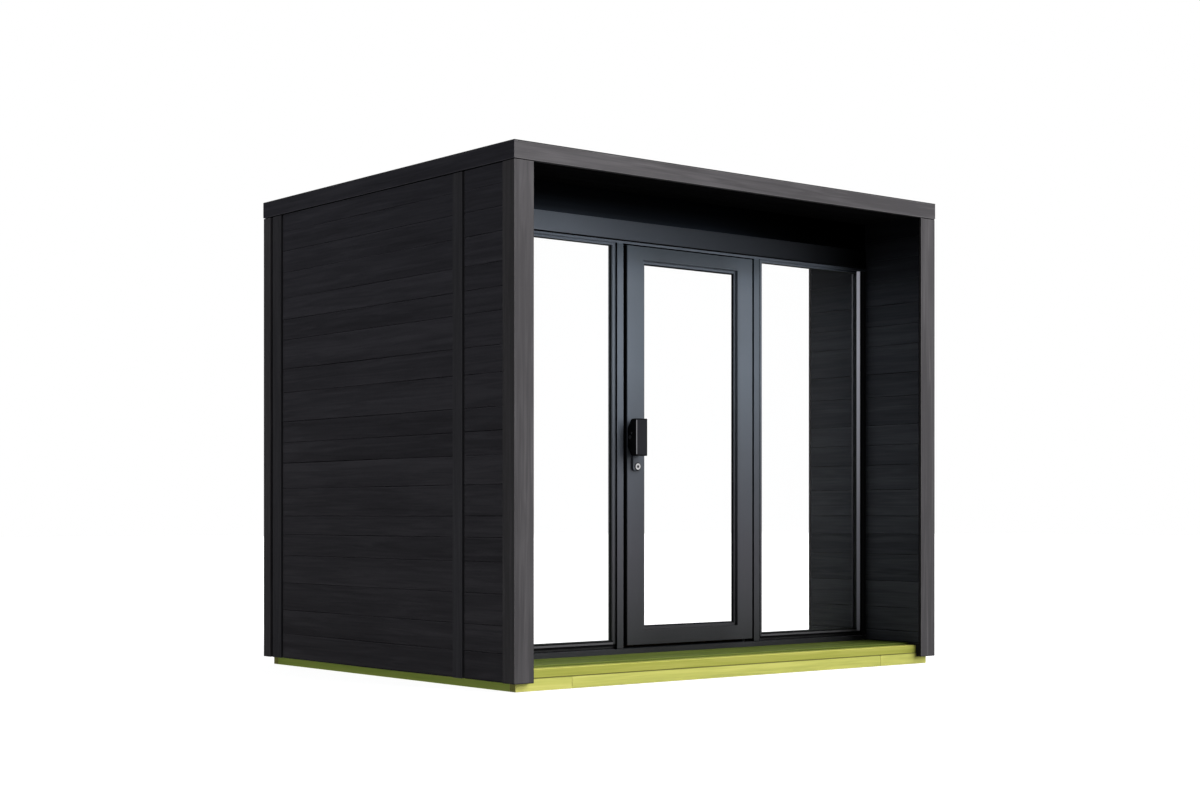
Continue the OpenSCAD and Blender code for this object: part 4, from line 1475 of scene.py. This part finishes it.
@dataclass
class GlazedFront:
    """The fixed part of the front wall: header, frame and sidelights."""

    glazing: Glazing
    lap: float = 0.010
    seal_lap: float = 0.002
    strip_t: float = 0.0015
    strip_front: float = 0.003
    strip_back: float = 0.012
    sill_front: float = 0.014
    joint_front: float = 0.0004
    recess_depths: Pair = (0.005, 0.012)
    head_recess: float = 0.011
    foot_recesses: tuple[Pair, Pair] = ((0.0, 0.003), (0.0115, 0.0225))
    drip_heights: Pair = (0.0235, 0.0335)
    seal_heights: Pair = (0.0340, 0.0395)
    foot_inset: float = 0.020
    foot_proud: float = 0.0008
    foot_sunk: float = 0.002
    cover_t: float = 0.009
    cover_w: float = 0.017
    cover_lap: float = 0.009
    cover_lip: float = 0.0006
    cover_sunk: float = 0.001
    cover_foot: float = 0.026
    cover_top: float = 0.003
    thin_arris: float = 0.0004

    def build(self) -> None:
        """Fits the frame and the sidelights."""
        for make, name, node, finish, arris, steps in (
                (refined, "header_plate", "header_panel", HEADER_COAT, 0.0015, MEDIUM),
                (refined, "head_rail", "frame_head", FRAME_COAT, 0.001, MEDIUM),
                (refined, "door_sill", "frame_sill", GREY_COAT, 0.0015, MEDIUM),
                (refined, "side_jambs", "frame_jambs", DARK_COAT, 0.0012, MEDIUM),
                (planks, "mullion_posts", "mullions", GREY_COAT, 0.003, FINE),
                (refined, "stops", "door_stops", BLACK_RUBBER, 0.001, MEDIUM),
                (refined, "sidelight_sashes", "sidelight_frames", FRAME_COAT, 0.0012, MEDIUM),
                (refined, "sidelight_rear_beads", "sidelight_beads", GREY_COAT, 0.0015, MEDIUM)):
            make(name, node, finish, arris, steps)
        seals, panes, spacers = [], [], []
        for number, box in enumerate(solid_boxes("sidelight_glass")):
            opening = box.shrunk(self.lap - self.seal_lap)
            seals.append(self.glazing.seal(f"seal_{number}", opening, box.low.y))
            panes.append(self.glazing.panes(f"panes_{number}", box))
            spacers.append(self.glazing.spacer(f"spacer_{number}", box))
        for name, parts, finish, nodes in (
                ("sidelight_seals", seals, SEAL_GREY, ()),
                ("sidelight_panes", panes, SOLAR_GLASS, ("sidelight_glass",)),
                ("sidelight_spacers", spacers, BLACK_RUBBER, ())):
            Bench.finished(Bench.join(name, parts), Body.CABIN, finish, nodes)
        self.seals_and_shade()
        self.cover_strips()
        for name, finish, heights in (("sidelight_drips", DRIP_COAT, self.drip_heights),
                                      ("sidelight_foot_seals", BLACK_RUBBER, self.seal_heights)):
            self.foot_strips(name, finish, heights)

    def seals_and_shade(self) -> None:
        """Fits black strips: seals in the door, painted shade in recesses and sidelight joints."""
        head, sill = node_box("frame_head"), node_box("frame_sill")
        left, right = solid_boxes("mullions")
        thin, front = self.strip_t, head.low.y
        back = node_box("door_stiles").high.y - self.strip_back
        upright, opening = (sill.high.z, head.low.z), (left.high.x, right.low.x)
        depth = (front + self.strip_front, back)
        recess = tuple(front + y for y in self.recess_depths)
        boxes = [Box.between((face, face + thin * way), depth, upright)
                 for face, way in ((left.high.x, 1.0), (right.low.x, -1.0))]
        boxes += [
            Box.between(opening, depth, (head.low.z - thin, head.low.z)),
            Box.between(opening, (front + self.sill_front, back),
                        (sill.high.z, sill.high.z + thin)),
            Box.between((head.low.x, head.high.x), recess,
                        (head.low.z + self.head_recess, head.high.z))]
        for sash, mullion in zip(solid_boxes("sidelight_frames"), (left, right)):
            recess = tuple(sash.low.y + y for y in self.recess_depths)
            boxes += [Box.between((sash.low.x, sash.high.x), recess,
                                  (sill.high.z + low, sill.high.z + high))
                      for low, high in self.foot_recesses]
            outer, way = (mullion.low.x, -1.0) if sash.centre.x < 0.0 else (mullion.high.x, 1.0)
            boxes.append(Box.between((outer, outer + thin * 2.0 * way),
                                     (front + self.joint_front, sash.low.y), upright))
        strips = [Bench.block(f"gasket_{i}", box) for i, box in enumerate(boxes)]
        Bench.finished(Bench.join("frame_seals_and_shade", strips), Body.CABIN, BLACK_RUBBER)

    def foot_strips(self, name: str, finish: Finish, heights: Pair) -> None:
        """Fits a strip along the foot of each sidelight.

        Args:
            name: The piece's name.
            finish: Its finish.
            heights: Its lower and upper edges, above the sill.
        """
        top = node_box("frame_sill").high.z
        strips = []
        for sash in solid_boxes("sidelight_frames"):
            strip = Bench.block("strip", Box.between(
                (sash.low.x + self.foot_inset, sash.high.x - self.foot_inset),
                (sash.low.y - self.foot_proud, sash.low.y + self.foot_sunk),
                (top + heights[0], top + heights[1])))
            Bench.round_all(strip, self.thin_arris, COARSE)
            strips.append(strip)
        Bench.finished(Bench.join(name, strips), Body.CABIN, finish)

    def cover_strips(self) -> None:
        """Fits a sloping bright cover strip, a painted highlight, on each sidelight's wall side."""
        strips = []
        for sash, glass in zip(solid_boxes("sidelight_frames"), solid_boxes("sidelight_glass")):
            edge, way = ((glass.low.x + self.lap, 1.0) if sash.centre.x < 0.0
                         else (glass.high.x - self.lap, -1.0))
            inner = edge + self.cover_lap * way
            strip = Bench.block("cover", Box.between(
                (inner, edge + (self.cover_lap - self.cover_w) * way),
                (sash.low.y - self.cover_t, sash.low.y + self.cover_sunk),
                (sash.low.z + self.cover_foot, sash.high.z - self.cover_top)))
            for vert in strip.data.vertices:
                if abs(vert.co.x - inner) < TOUCH and vert.co.y < sash.low.y:
                    vert.co.y = sash.low.y - self.cover_lip
            Bench.round_all(strip, self.thin_arris, COARSE)
            strips.append(strip)
        Bench.finished(Bench.join("sidelight_covers", strips), Body.CABIN, BRIGHT_COAT)


@dataclass
class DoorLeaf:
    """The door: a frame of two stiles and two rails, its glass and its lock plate."""

    glazing: Glazing
    edge: float = 0.0025
    bead_w: float = 0.017
    bead_splay: float = 0.003
    bead_arris: float = 0.001
    gasket_t: float = 0.0015
    gasket_inset_y: float = 0.004
    gasket_inset_z: float = 0.003
    plate_corner: float = 0.013
    corner_steps: int = 6
    fitting_arris: float = 0.0015

    def build(self) -> None:
        """Fits the leaf."""
        stiles, rails = node_box("door_stiles"), solid_boxes("door_rails")
        rails.sort(key=lambda b: b.low.z)
        opening = Box.between((rails[0].low.x, rails[0].high.x), (stiles.low.y, stiles.high.y),
                              (rails[0].high.z, rails[1].low.z))
        leaf = Bench.ring("leaf_frame", stiles, opening)
        Bench.round_all(leaf, self.edge, FINE)
        Bench.finished(leaf, Body.DOOR, GREY_COAT, ("door_stiles", "door_rails"))
        gasket = Bench.block("leaf_gasket", Box.between(
            (stiles.low.x - self.gasket_t, stiles.low.x),
            (stiles.low.y + self.gasket_inset_y, stiles.high.y - self.gasket_inset_y),
            (stiles.low.z + self.gasket_inset_z, stiles.high.z - self.gasket_inset_z)))
        Bench.finished(gasket, Body.DOOR, DARK_COAT)
        self.glaze(opening)
        self.furnish(stiles)

    def glaze(self, opening: Box) -> None:
        """Fits the glass, its beads and its seal.

        Args:
            opening: The opening in the leaf.
        """
        beads = []
        for number, box in enumerate(sorted(solid_boxes("door_beads"), key=lambda b: b.low.y)):
            bead = Bench.ring(f"bead_{number}", box, box.shrunk(self.bead_w),
                              splay=self.bead_splay if number == 0 else 0.0)
            Bench.round_all(bead, self.bead_arris)
            beads.append(bead)
        Bench.finished(Bench.join("leaf_beads", beads), Body.DOOR, BEAD_COAT, ("door_beads",))
        glass = node_box("door_glass")
        for piece, finish, nodes in (
                (self.glazing.seal("leaf_seal", opening.shrunk(self.bead_w), glass.low.y),
                 BLACK_RUBBER, ()),
                (self.glazing.panes("leaf_panes", glass), SOLAR_GLASS, ("door_glass",)),
                (self.glazing.spacer("leaf_spacer", glass), BLACK_RUBBER, ())):
            Bench.finished(piece, Body.DOOR, finish, nodes)

    def furnish(self, leaf: Box) -> None:
        """Fits the pull, the lock plate, the pivots and the key cylinder.

        Args:
            leaf: The leaf's limits.
        """
        refined("pull_handle", "door_pull", PULL_COAT, self.fitting_arris, FINE, Body.DOOR)
        box = node_box("lock_plate")
        plate = Bench.block("plate", box)
        Bench.ease(plate, lambda a, b: abs(a.y - b.y) > TOUCH and max(a.z, b.z) < box.centre.z,
                   self.plate_corner, self.corner_steps)
        Bench.round_all(plate, self.fitting_arris, FINE)
        Bench.finished(plate, Body.DOOR, GREY_COAT, ("lock_plate",))
        kept("door_pivots", BLACK_COAT)
        PullTrim(node_box("door_pull")).build(leaf)
        KeyCylinder().build()


@dataclass
class PullTrim:
    """What the pull carries: its screws, the plate on its grip and a polished strip.

    Each screw has a head's radius and a place, along Y from the leaf and along Z from the pull's
    middle. Each rib takes up a share of its pitch.
    """

    pull: Box
    screws: tuple[Triple, ...] = ((0.010, -0.019, 0.0), (0.005, -0.032, 0.021))
    screw_t: float = 0.0025
    screw_proud: float = 0.0012
    screw_sides: int = 24
    screw_arris: float = 0.0005
    socket_rim: float = 0.45
    chamfer: float = 0.006
    plate_t: float = 0.0006
    plate_rim: float = 0.006
    plate_gap: float = 0.0005
    plate_edge: float = 0.013
    plate_sunk: float = 0.001
    plate_corner: float = 0.003
    ribs: int = 7
    rib_share: Pair = (0.12, 0.88)
    rib_inset: float = 0.002
    rib_sunk: float = 0.0002
    strip_w: float = 0.0042
    strip_half_t: float = 0.0006
    strip_proud: float = 0.0004
    strip_inset: float = 0.008
    strip_arris: float = 0.0004

    def build(self, leaf: Box) -> None:
        """Fits the screws, the plate and the strip.

        Args:
            leaf: The leaf's limits.
        """
        screws = [self.screw(f"screw_{i}", size, Vector((
            self.pull.low.x, leaf.low.y + y, self.pull.centre.z + z)))
                  for i, (size, y, z) in enumerate(self.screws)]
        Bench.finished(Bench.join("pull_screws", screws), Body.DOOR, DULL_STEEL)
        self.grip_face()
        self.edge_strip()

    def screw(self, name: str, radius: float, place: Vector) -> bpy.types.Object:
        """A screw head with a socket, on the latch side of the pull.

        Args:
            name: The object's name.
            radius: The head's radius.
            place: The middle of its seat.

        Returns:
            The object.
        """
        centre = place - Vector((self.screw_t / 2 - self.screw_proud, 0.0, 0.0))
        piece = Bench.rod(name, centre, radius, self.screw_t, (0.0, -math.pi / 2, 0.0),
                          self.screw_sides)
        outer = min(v.co.x for v in piece.data.vertices)
        with Bench.editing(piece, "FACE"):
            Bench.pick(piece, "faces", lambda middle, normal: middle.x < outer + TOUCH)
            bpy.ops.mesh.inset(thickness=radius * self.socket_rim)
            bpy.ops.mesh.extrude_region_move(
                TRANSFORM_OT_translate={"value": (self.screw_t / 2, 0.0, 0.0)})
        Bench.round_all(piece, self.screw_arris)
        return piece

    def grip_face(self) -> None:
        """Fits the plate with its ribs on the front of the grip."""
        pull = self.pull
        box = Box.between(
            (pull.low.x + self.chamfer + self.plate_gap, pull.high.x - self.plate_edge),
            (pull.low.y - self.plate_t, pull.low.y + self.plate_sunk),
            (pull.low.z + self.plate_rim, pull.high.z - self.plate_rim))
        plate = Bench.block("grip_plate", box)
        Bench.ease(plate, lambda a, b: abs(a.y - b.y) > TOUCH, self.plate_corner, FINE)
        pitch = box.size.x / self.ribs
        depth = (box.low.y - self.plate_t, box.low.y + self.rib_sunk)
        height = (box.low.z + self.rib_inset, box.high.z - self.rib_inset)
        parts = [plate]
        for number in range(self.ribs):
            width = tuple(box.low.x + pitch * (number + share) for share in self.rib_share)
            rib = Bench.block(f"rib_{number}", Box.between(width, depth, height))
            Bench.ease(rib, lambda a, b: max(a.y, b.y) < box.low.y - TOUCH, self.plate_t / 2)
            parts.append(rib)
        Bench.finished(Bench.join("grip_plate", parts), Body.DOOR, GRIP_FACE)

    def edge_strip(self) -> None:
        """Fits the polished strip, a painted highlight, on the grip's chamfer on the latch side."""
        pull, thick = self.pull, self.strip_half_t
        middle = Vector((pull.low.x + self.chamfer / 2, pull.low.y + self.chamfer / 2,
                         pull.centre.z))
        outward = Vector((-1.0, -1.0, 0.0)).normalized()
        half = Vector((self.strip_w / 2, thick, pull.size.z / 2 - self.strip_inset))
        strip = Bench.block("pull_edge", Box(-half, half))
        Bench.round_all(strip, self.strip_arris)
        strip.data.transform(Matrix.Rotation(-math.pi / 4, 4, "Z"))
        strip.data.transform(Matrix.Translation(middle + outward * (self.strip_proud - thick)))
        Bench.finished(strip, Body.DOOR, POLISHED)


@dataclass
class KeyCylinder:
    """The key cylinder: a dark rim, a steel ring and a plug with its keyway."""

    sides: int = 48
    arris: float = 0.0005
    rim_r: float = 0.0205
    rim_t: float = 0.0008
    rim_sunk: float = 0.0002
    ring_r: float = 0.0160
    ring_face: float = 0.4
    step_w: float = 0.0004
    step_depth: float = 0.0016
    plug_size: float = 0.45
    plug_front: float = 0.0008
    plug_back: float = 0.002
    key_half_w: float = 0.0013
    key_depths: Pair = (0.0005, 0.0015)
    key_heights: Pair = (-0.0045, 0.0035)
    key_arris: float = 0.0004

    def build(self) -> None:
        """Fits the cylinder on the lock plate."""
        box = node_box("lock_cylinder")
        low, high, middle = box.low.y, box.high.y, box.centre
        face = node_box("lock_plate").low.y
        rim = self.disc("key_rim", box, face - self.rim_t, face + self.rim_sunk, self.rim_r)
        Bench.finished(rim, Body.DOOR, BLACK_RUBBER)
        ring = self.disc("key_ring", box, low, high, self.ring_r)
        with Bench.editing(ring, "FACE"):
            Bench.pick(ring, "faces", lambda spot, normal: normal.y < -SQUARE)
            bpy.ops.mesh.inset(thickness=self.ring_r * self.ring_face)
            bpy.ops.mesh.inset(thickness=self.step_w, depth=-self.step_depth)
        Bench.finished(ring, Body.DOOR, STEEL, ("lock_cylinder",))
        plug = self.disc("key_plug", box, low + self.plug_front, high - self.plug_back,
                         self.ring_r * self.plug_size)
        Bench.finished(plug, Body.DOOR, DULL_STEEL)
        # The black keyway block is painted shade for the slot in the plug.
        keyway = Bench.block("keyway", Box.between(
            (middle.x - self.key_half_w, middle.x + self.key_half_w),
            [low + y for y in self.key_depths], [middle.z + z for z in self.key_heights]))
        Bench.round_all(keyway, self.key_arris)
        Bench.finished(keyway, Body.DOOR, BLACK_RUBBER)

    def disc(self, name: str, box: Box, front: float, back: float,
             radius: float) -> bpy.types.Object:
        """A short cylinder along Y, in the middle of a box.

        Args:
            name: The object's name.
            box: The box.
            front: Where it starts along Y.
            back: Where it ends along Y.
            radius: Its radius.

        Returns:
            The object.
        """
        own = box.limited(Axis.Y, front, back)
        piece = Bench.rod(name, own.centre, radius, own.size.y, (math.pi / 2, 0.0, 0.0),
                          self.sides)
        Bench.round_all(piece, self.arris)
        return piece


@dataclass
class Room:
    """The room's boards: walls, ceiling and floor."""

    pitch: float = 0.095
    floor_pitch: float = 0.12
    gap: float = 0.001
    arris: float = 0.002

    def field(self, name: str, box: Box, run: Axis, across: Axis, outward: Vector,
              pitch: float) -> bpy.types.Object:
        """A field of equal boards.

        Args:
            name: The field's name.
            box: The space that it fills.
            run: The axis along which its boards run.
            across: The axis along which they lie side by side.
            outward: Where its face looks.
            pitch: The width of a board.

        Returns:
            The boards.
        """
        seams = even_seams(box.low[across.value], box.high[across.value], pitch)
        return Boards(name, box, run, across, outward, seams, self.gap, self.arris,
                      seed=sum(map(ord, name)), light_edge=False).lay()

    def build(self) -> None:
        """Lines the room."""
        sides = []
        for box in solid_boxes("side_linings"):
            outward = Vector((-math.copysign(1.0, box.centre.x), 0.0, 0.0))
            sides.append(self.field(f"room_side_{len(sides)}", box, Axis.Y, Axis.Z, outward,
                                    self.pitch))
        along, back = pale_timber(Axis.X), pale_timber(Axis.Y)
        Bench.finished(Bench.join("room_sides", sides), Body.CABIN, back, ("side_linings",))
        for name, node, across, outward, pitch in (
                ("room_rear", "rear_lining", Axis.Z, Vector((0.0, -1.0, 0.0)), self.pitch),
                ("room_ceiling", "ceiling_lining", Axis.Y, -UP, self.pitch),
                ("room_floor", "cabin_floor", Axis.Y, UP, self.floor_pitch)):
            boards = self.field(name, node_box(node), Axis.X, across, outward, pitch)
            Bench.finished(boards, Body.CABIN, along, (node,))


@dataclass
class Studio:
    """The camera, the lamps, the white world and the floor."""

    eye: Triple = (-6.5858, -8.0858, 0.7997)
    heading: float = -39.17
    lens: float = 57.54
    sensor: float = 36.0
    shift: float = 0.0947
    far: float = 500.0
    key_strength: float = 7.5
    key_azimuth: float = 50.0
    key_height: float = 22.0
    softness: float = 75.0
    rear_strength: float = 1.3
    rear_azimuth: float = 155.0
    rear_height: float = 24.0
    sky: Colour = (0.056, 0.060, 0.076)
    horizon: Colour = (0.056, 0.059, 0.070)
    sky_heights: Pair = (-0.1, 0.9)
    floor_glow: float = 0.95
    floor_bounce: float = 0.10
    floor_light: float = 0.19
    floor_grey: float = 0.35
    floor_size: float = 120.0
    floor_drop: float = 0.002

    def build(self) -> None:
        """Sets up everything that isn't part of the cabin."""
        scene = bpy.context.scene
        scene.view_settings.view_transform = "Standard"
        camera = bpy.data.cameras.new("camera")
        camera.lens, camera.sensor_width, camera.shift_y = self.lens, self.sensor, self.shift
        camera.clip_end = self.far
        holder = bpy.data.objects.new("camera", camera)
        holder.location = self.eye
        holder.rotation_euler = (math.pi / 2, 0.0, math.radians(self.heading))
        scene.collection.objects.link(holder)
        scene.camera = holder
        self.sun("key", self.key_strength, self.key_azimuth, self.key_height)
        self.sun("rear", self.rear_strength, self.rear_azimuth, self.rear_height)
        self.world()
        self.floor()

    def sun(self, name: str, strength: float, azimuth: float, height: float) -> None:
        """A soft light from one direction.

        Args:
            name: The lamp's name.
            strength: Its strength.
            azimuth: Its direction in degrees from the front, towards the right.
            height: Its height above the horizon, in degrees.
        """
        lamp = bpy.data.lights.new(name, "SUN")
        lamp.energy = strength
        lamp.angle = math.radians(self.softness)
        turn, rise = math.radians(azimuth), math.radians(height)
        source = Vector((math.sin(turn) * math.cos(rise), -math.cos(turn) * math.cos(rise),
                         math.sin(rise)))
        holder = bpy.data.objects.new(name, lamp)
        holder.rotation_euler = source.to_track_quat("Z", "Y").to_euler()
        holder.visible_glossy = False
        bpy.context.scene.collection.objects.link(holder)

    @staticmethod
    def seen_directly(graph: Graph) -> Sock:
        """1 where the camera sees a surface itself, or in a mirror or through glass."""
        rays = [graph.node("ShaderNodeLightPath", output=name)
                for name in ("Is Camera Ray", "Is Glossy Ray", "Is Transmission Ray")]
        return (rays[0] + rays[1] + rays[2]).clamped()

    def world(self) -> None:
        """White where it is seen, and a low, slightly cool sky for the light it gives."""
        world = bpy.data.worlds.new("world")
        bpy.context.scene.world = world
        world.use_nodes = True
        graph = Graph(world.node_tree)
        height = graph.node("ShaderNodeSeparateXYZ", None, {
            0: graph.node("ShaderNodeTexCoord", output="Generated")}, output="Z")
        sky = graph.mix(graph.band(height, *self.sky_heights), self.horizon, self.sky)
        colour = graph.mix(self.seen_directly(graph), sky, WHITE)
        light = graph.node("ShaderNodeBackground", None, {"Color": colour, "Strength": 1.0})
        graph.node("ShaderNodeOutputWorld", None, {"Surface": light})

    def floor(self) -> None:
        """A plain pale floor, white where it is seen, that keeps the cabin's shadow."""
        bpy.ops.object.select_all(action="DESELECT")
        bpy.ops.mesh.primitive_plane_add(size=self.floor_size, location=-UP * self.floor_drop)
        floor = bpy.context.object
        floor.name = "studio_floor"
        material = bpy.data.materials.new("studio_floor")
        material.use_nodes = True
        graph = Graph(material.node_tree)
        seen, unseen = [graph.node("ShaderNodeAddShader", None, {
            0: graph.node("ShaderNodeEmission", None, {"Strength": glow}),
            1: graph.node("ShaderNodeBsdfDiffuse", None, {"Color": (grey, grey, grey, 1.0)})})
                        for glow, grey in ((self.floor_glow, self.floor_grey),
                                           (self.floor_light, self.floor_bounce))]
        shader = graph.node("ShaderNodeMixShader", None, {
            0: self.seen_directly(graph), 1: unseen, 2: seen})
        graph.node("ShaderNodeOutputMaterial", None, {"Surface": shader})
        floor.data.materials.append(material)


def main() -> None:
    """Builds the cabin and the studio."""
    logging.basicConfig(level=logging.INFO, format="%(name)s: %(message)s")
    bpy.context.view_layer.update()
    shell = Shell()
    glazing = Glazing()
    for assembly in (Groundwork(), shell, Porch(shell), Roof(), GlazedFront(glazing),
                     DoorLeaf(glazing), Room(), Studio()):
        assembly.build()
        log.info("built %s", type(assembly).__name__)


if __name__ == "__main__":
    main()
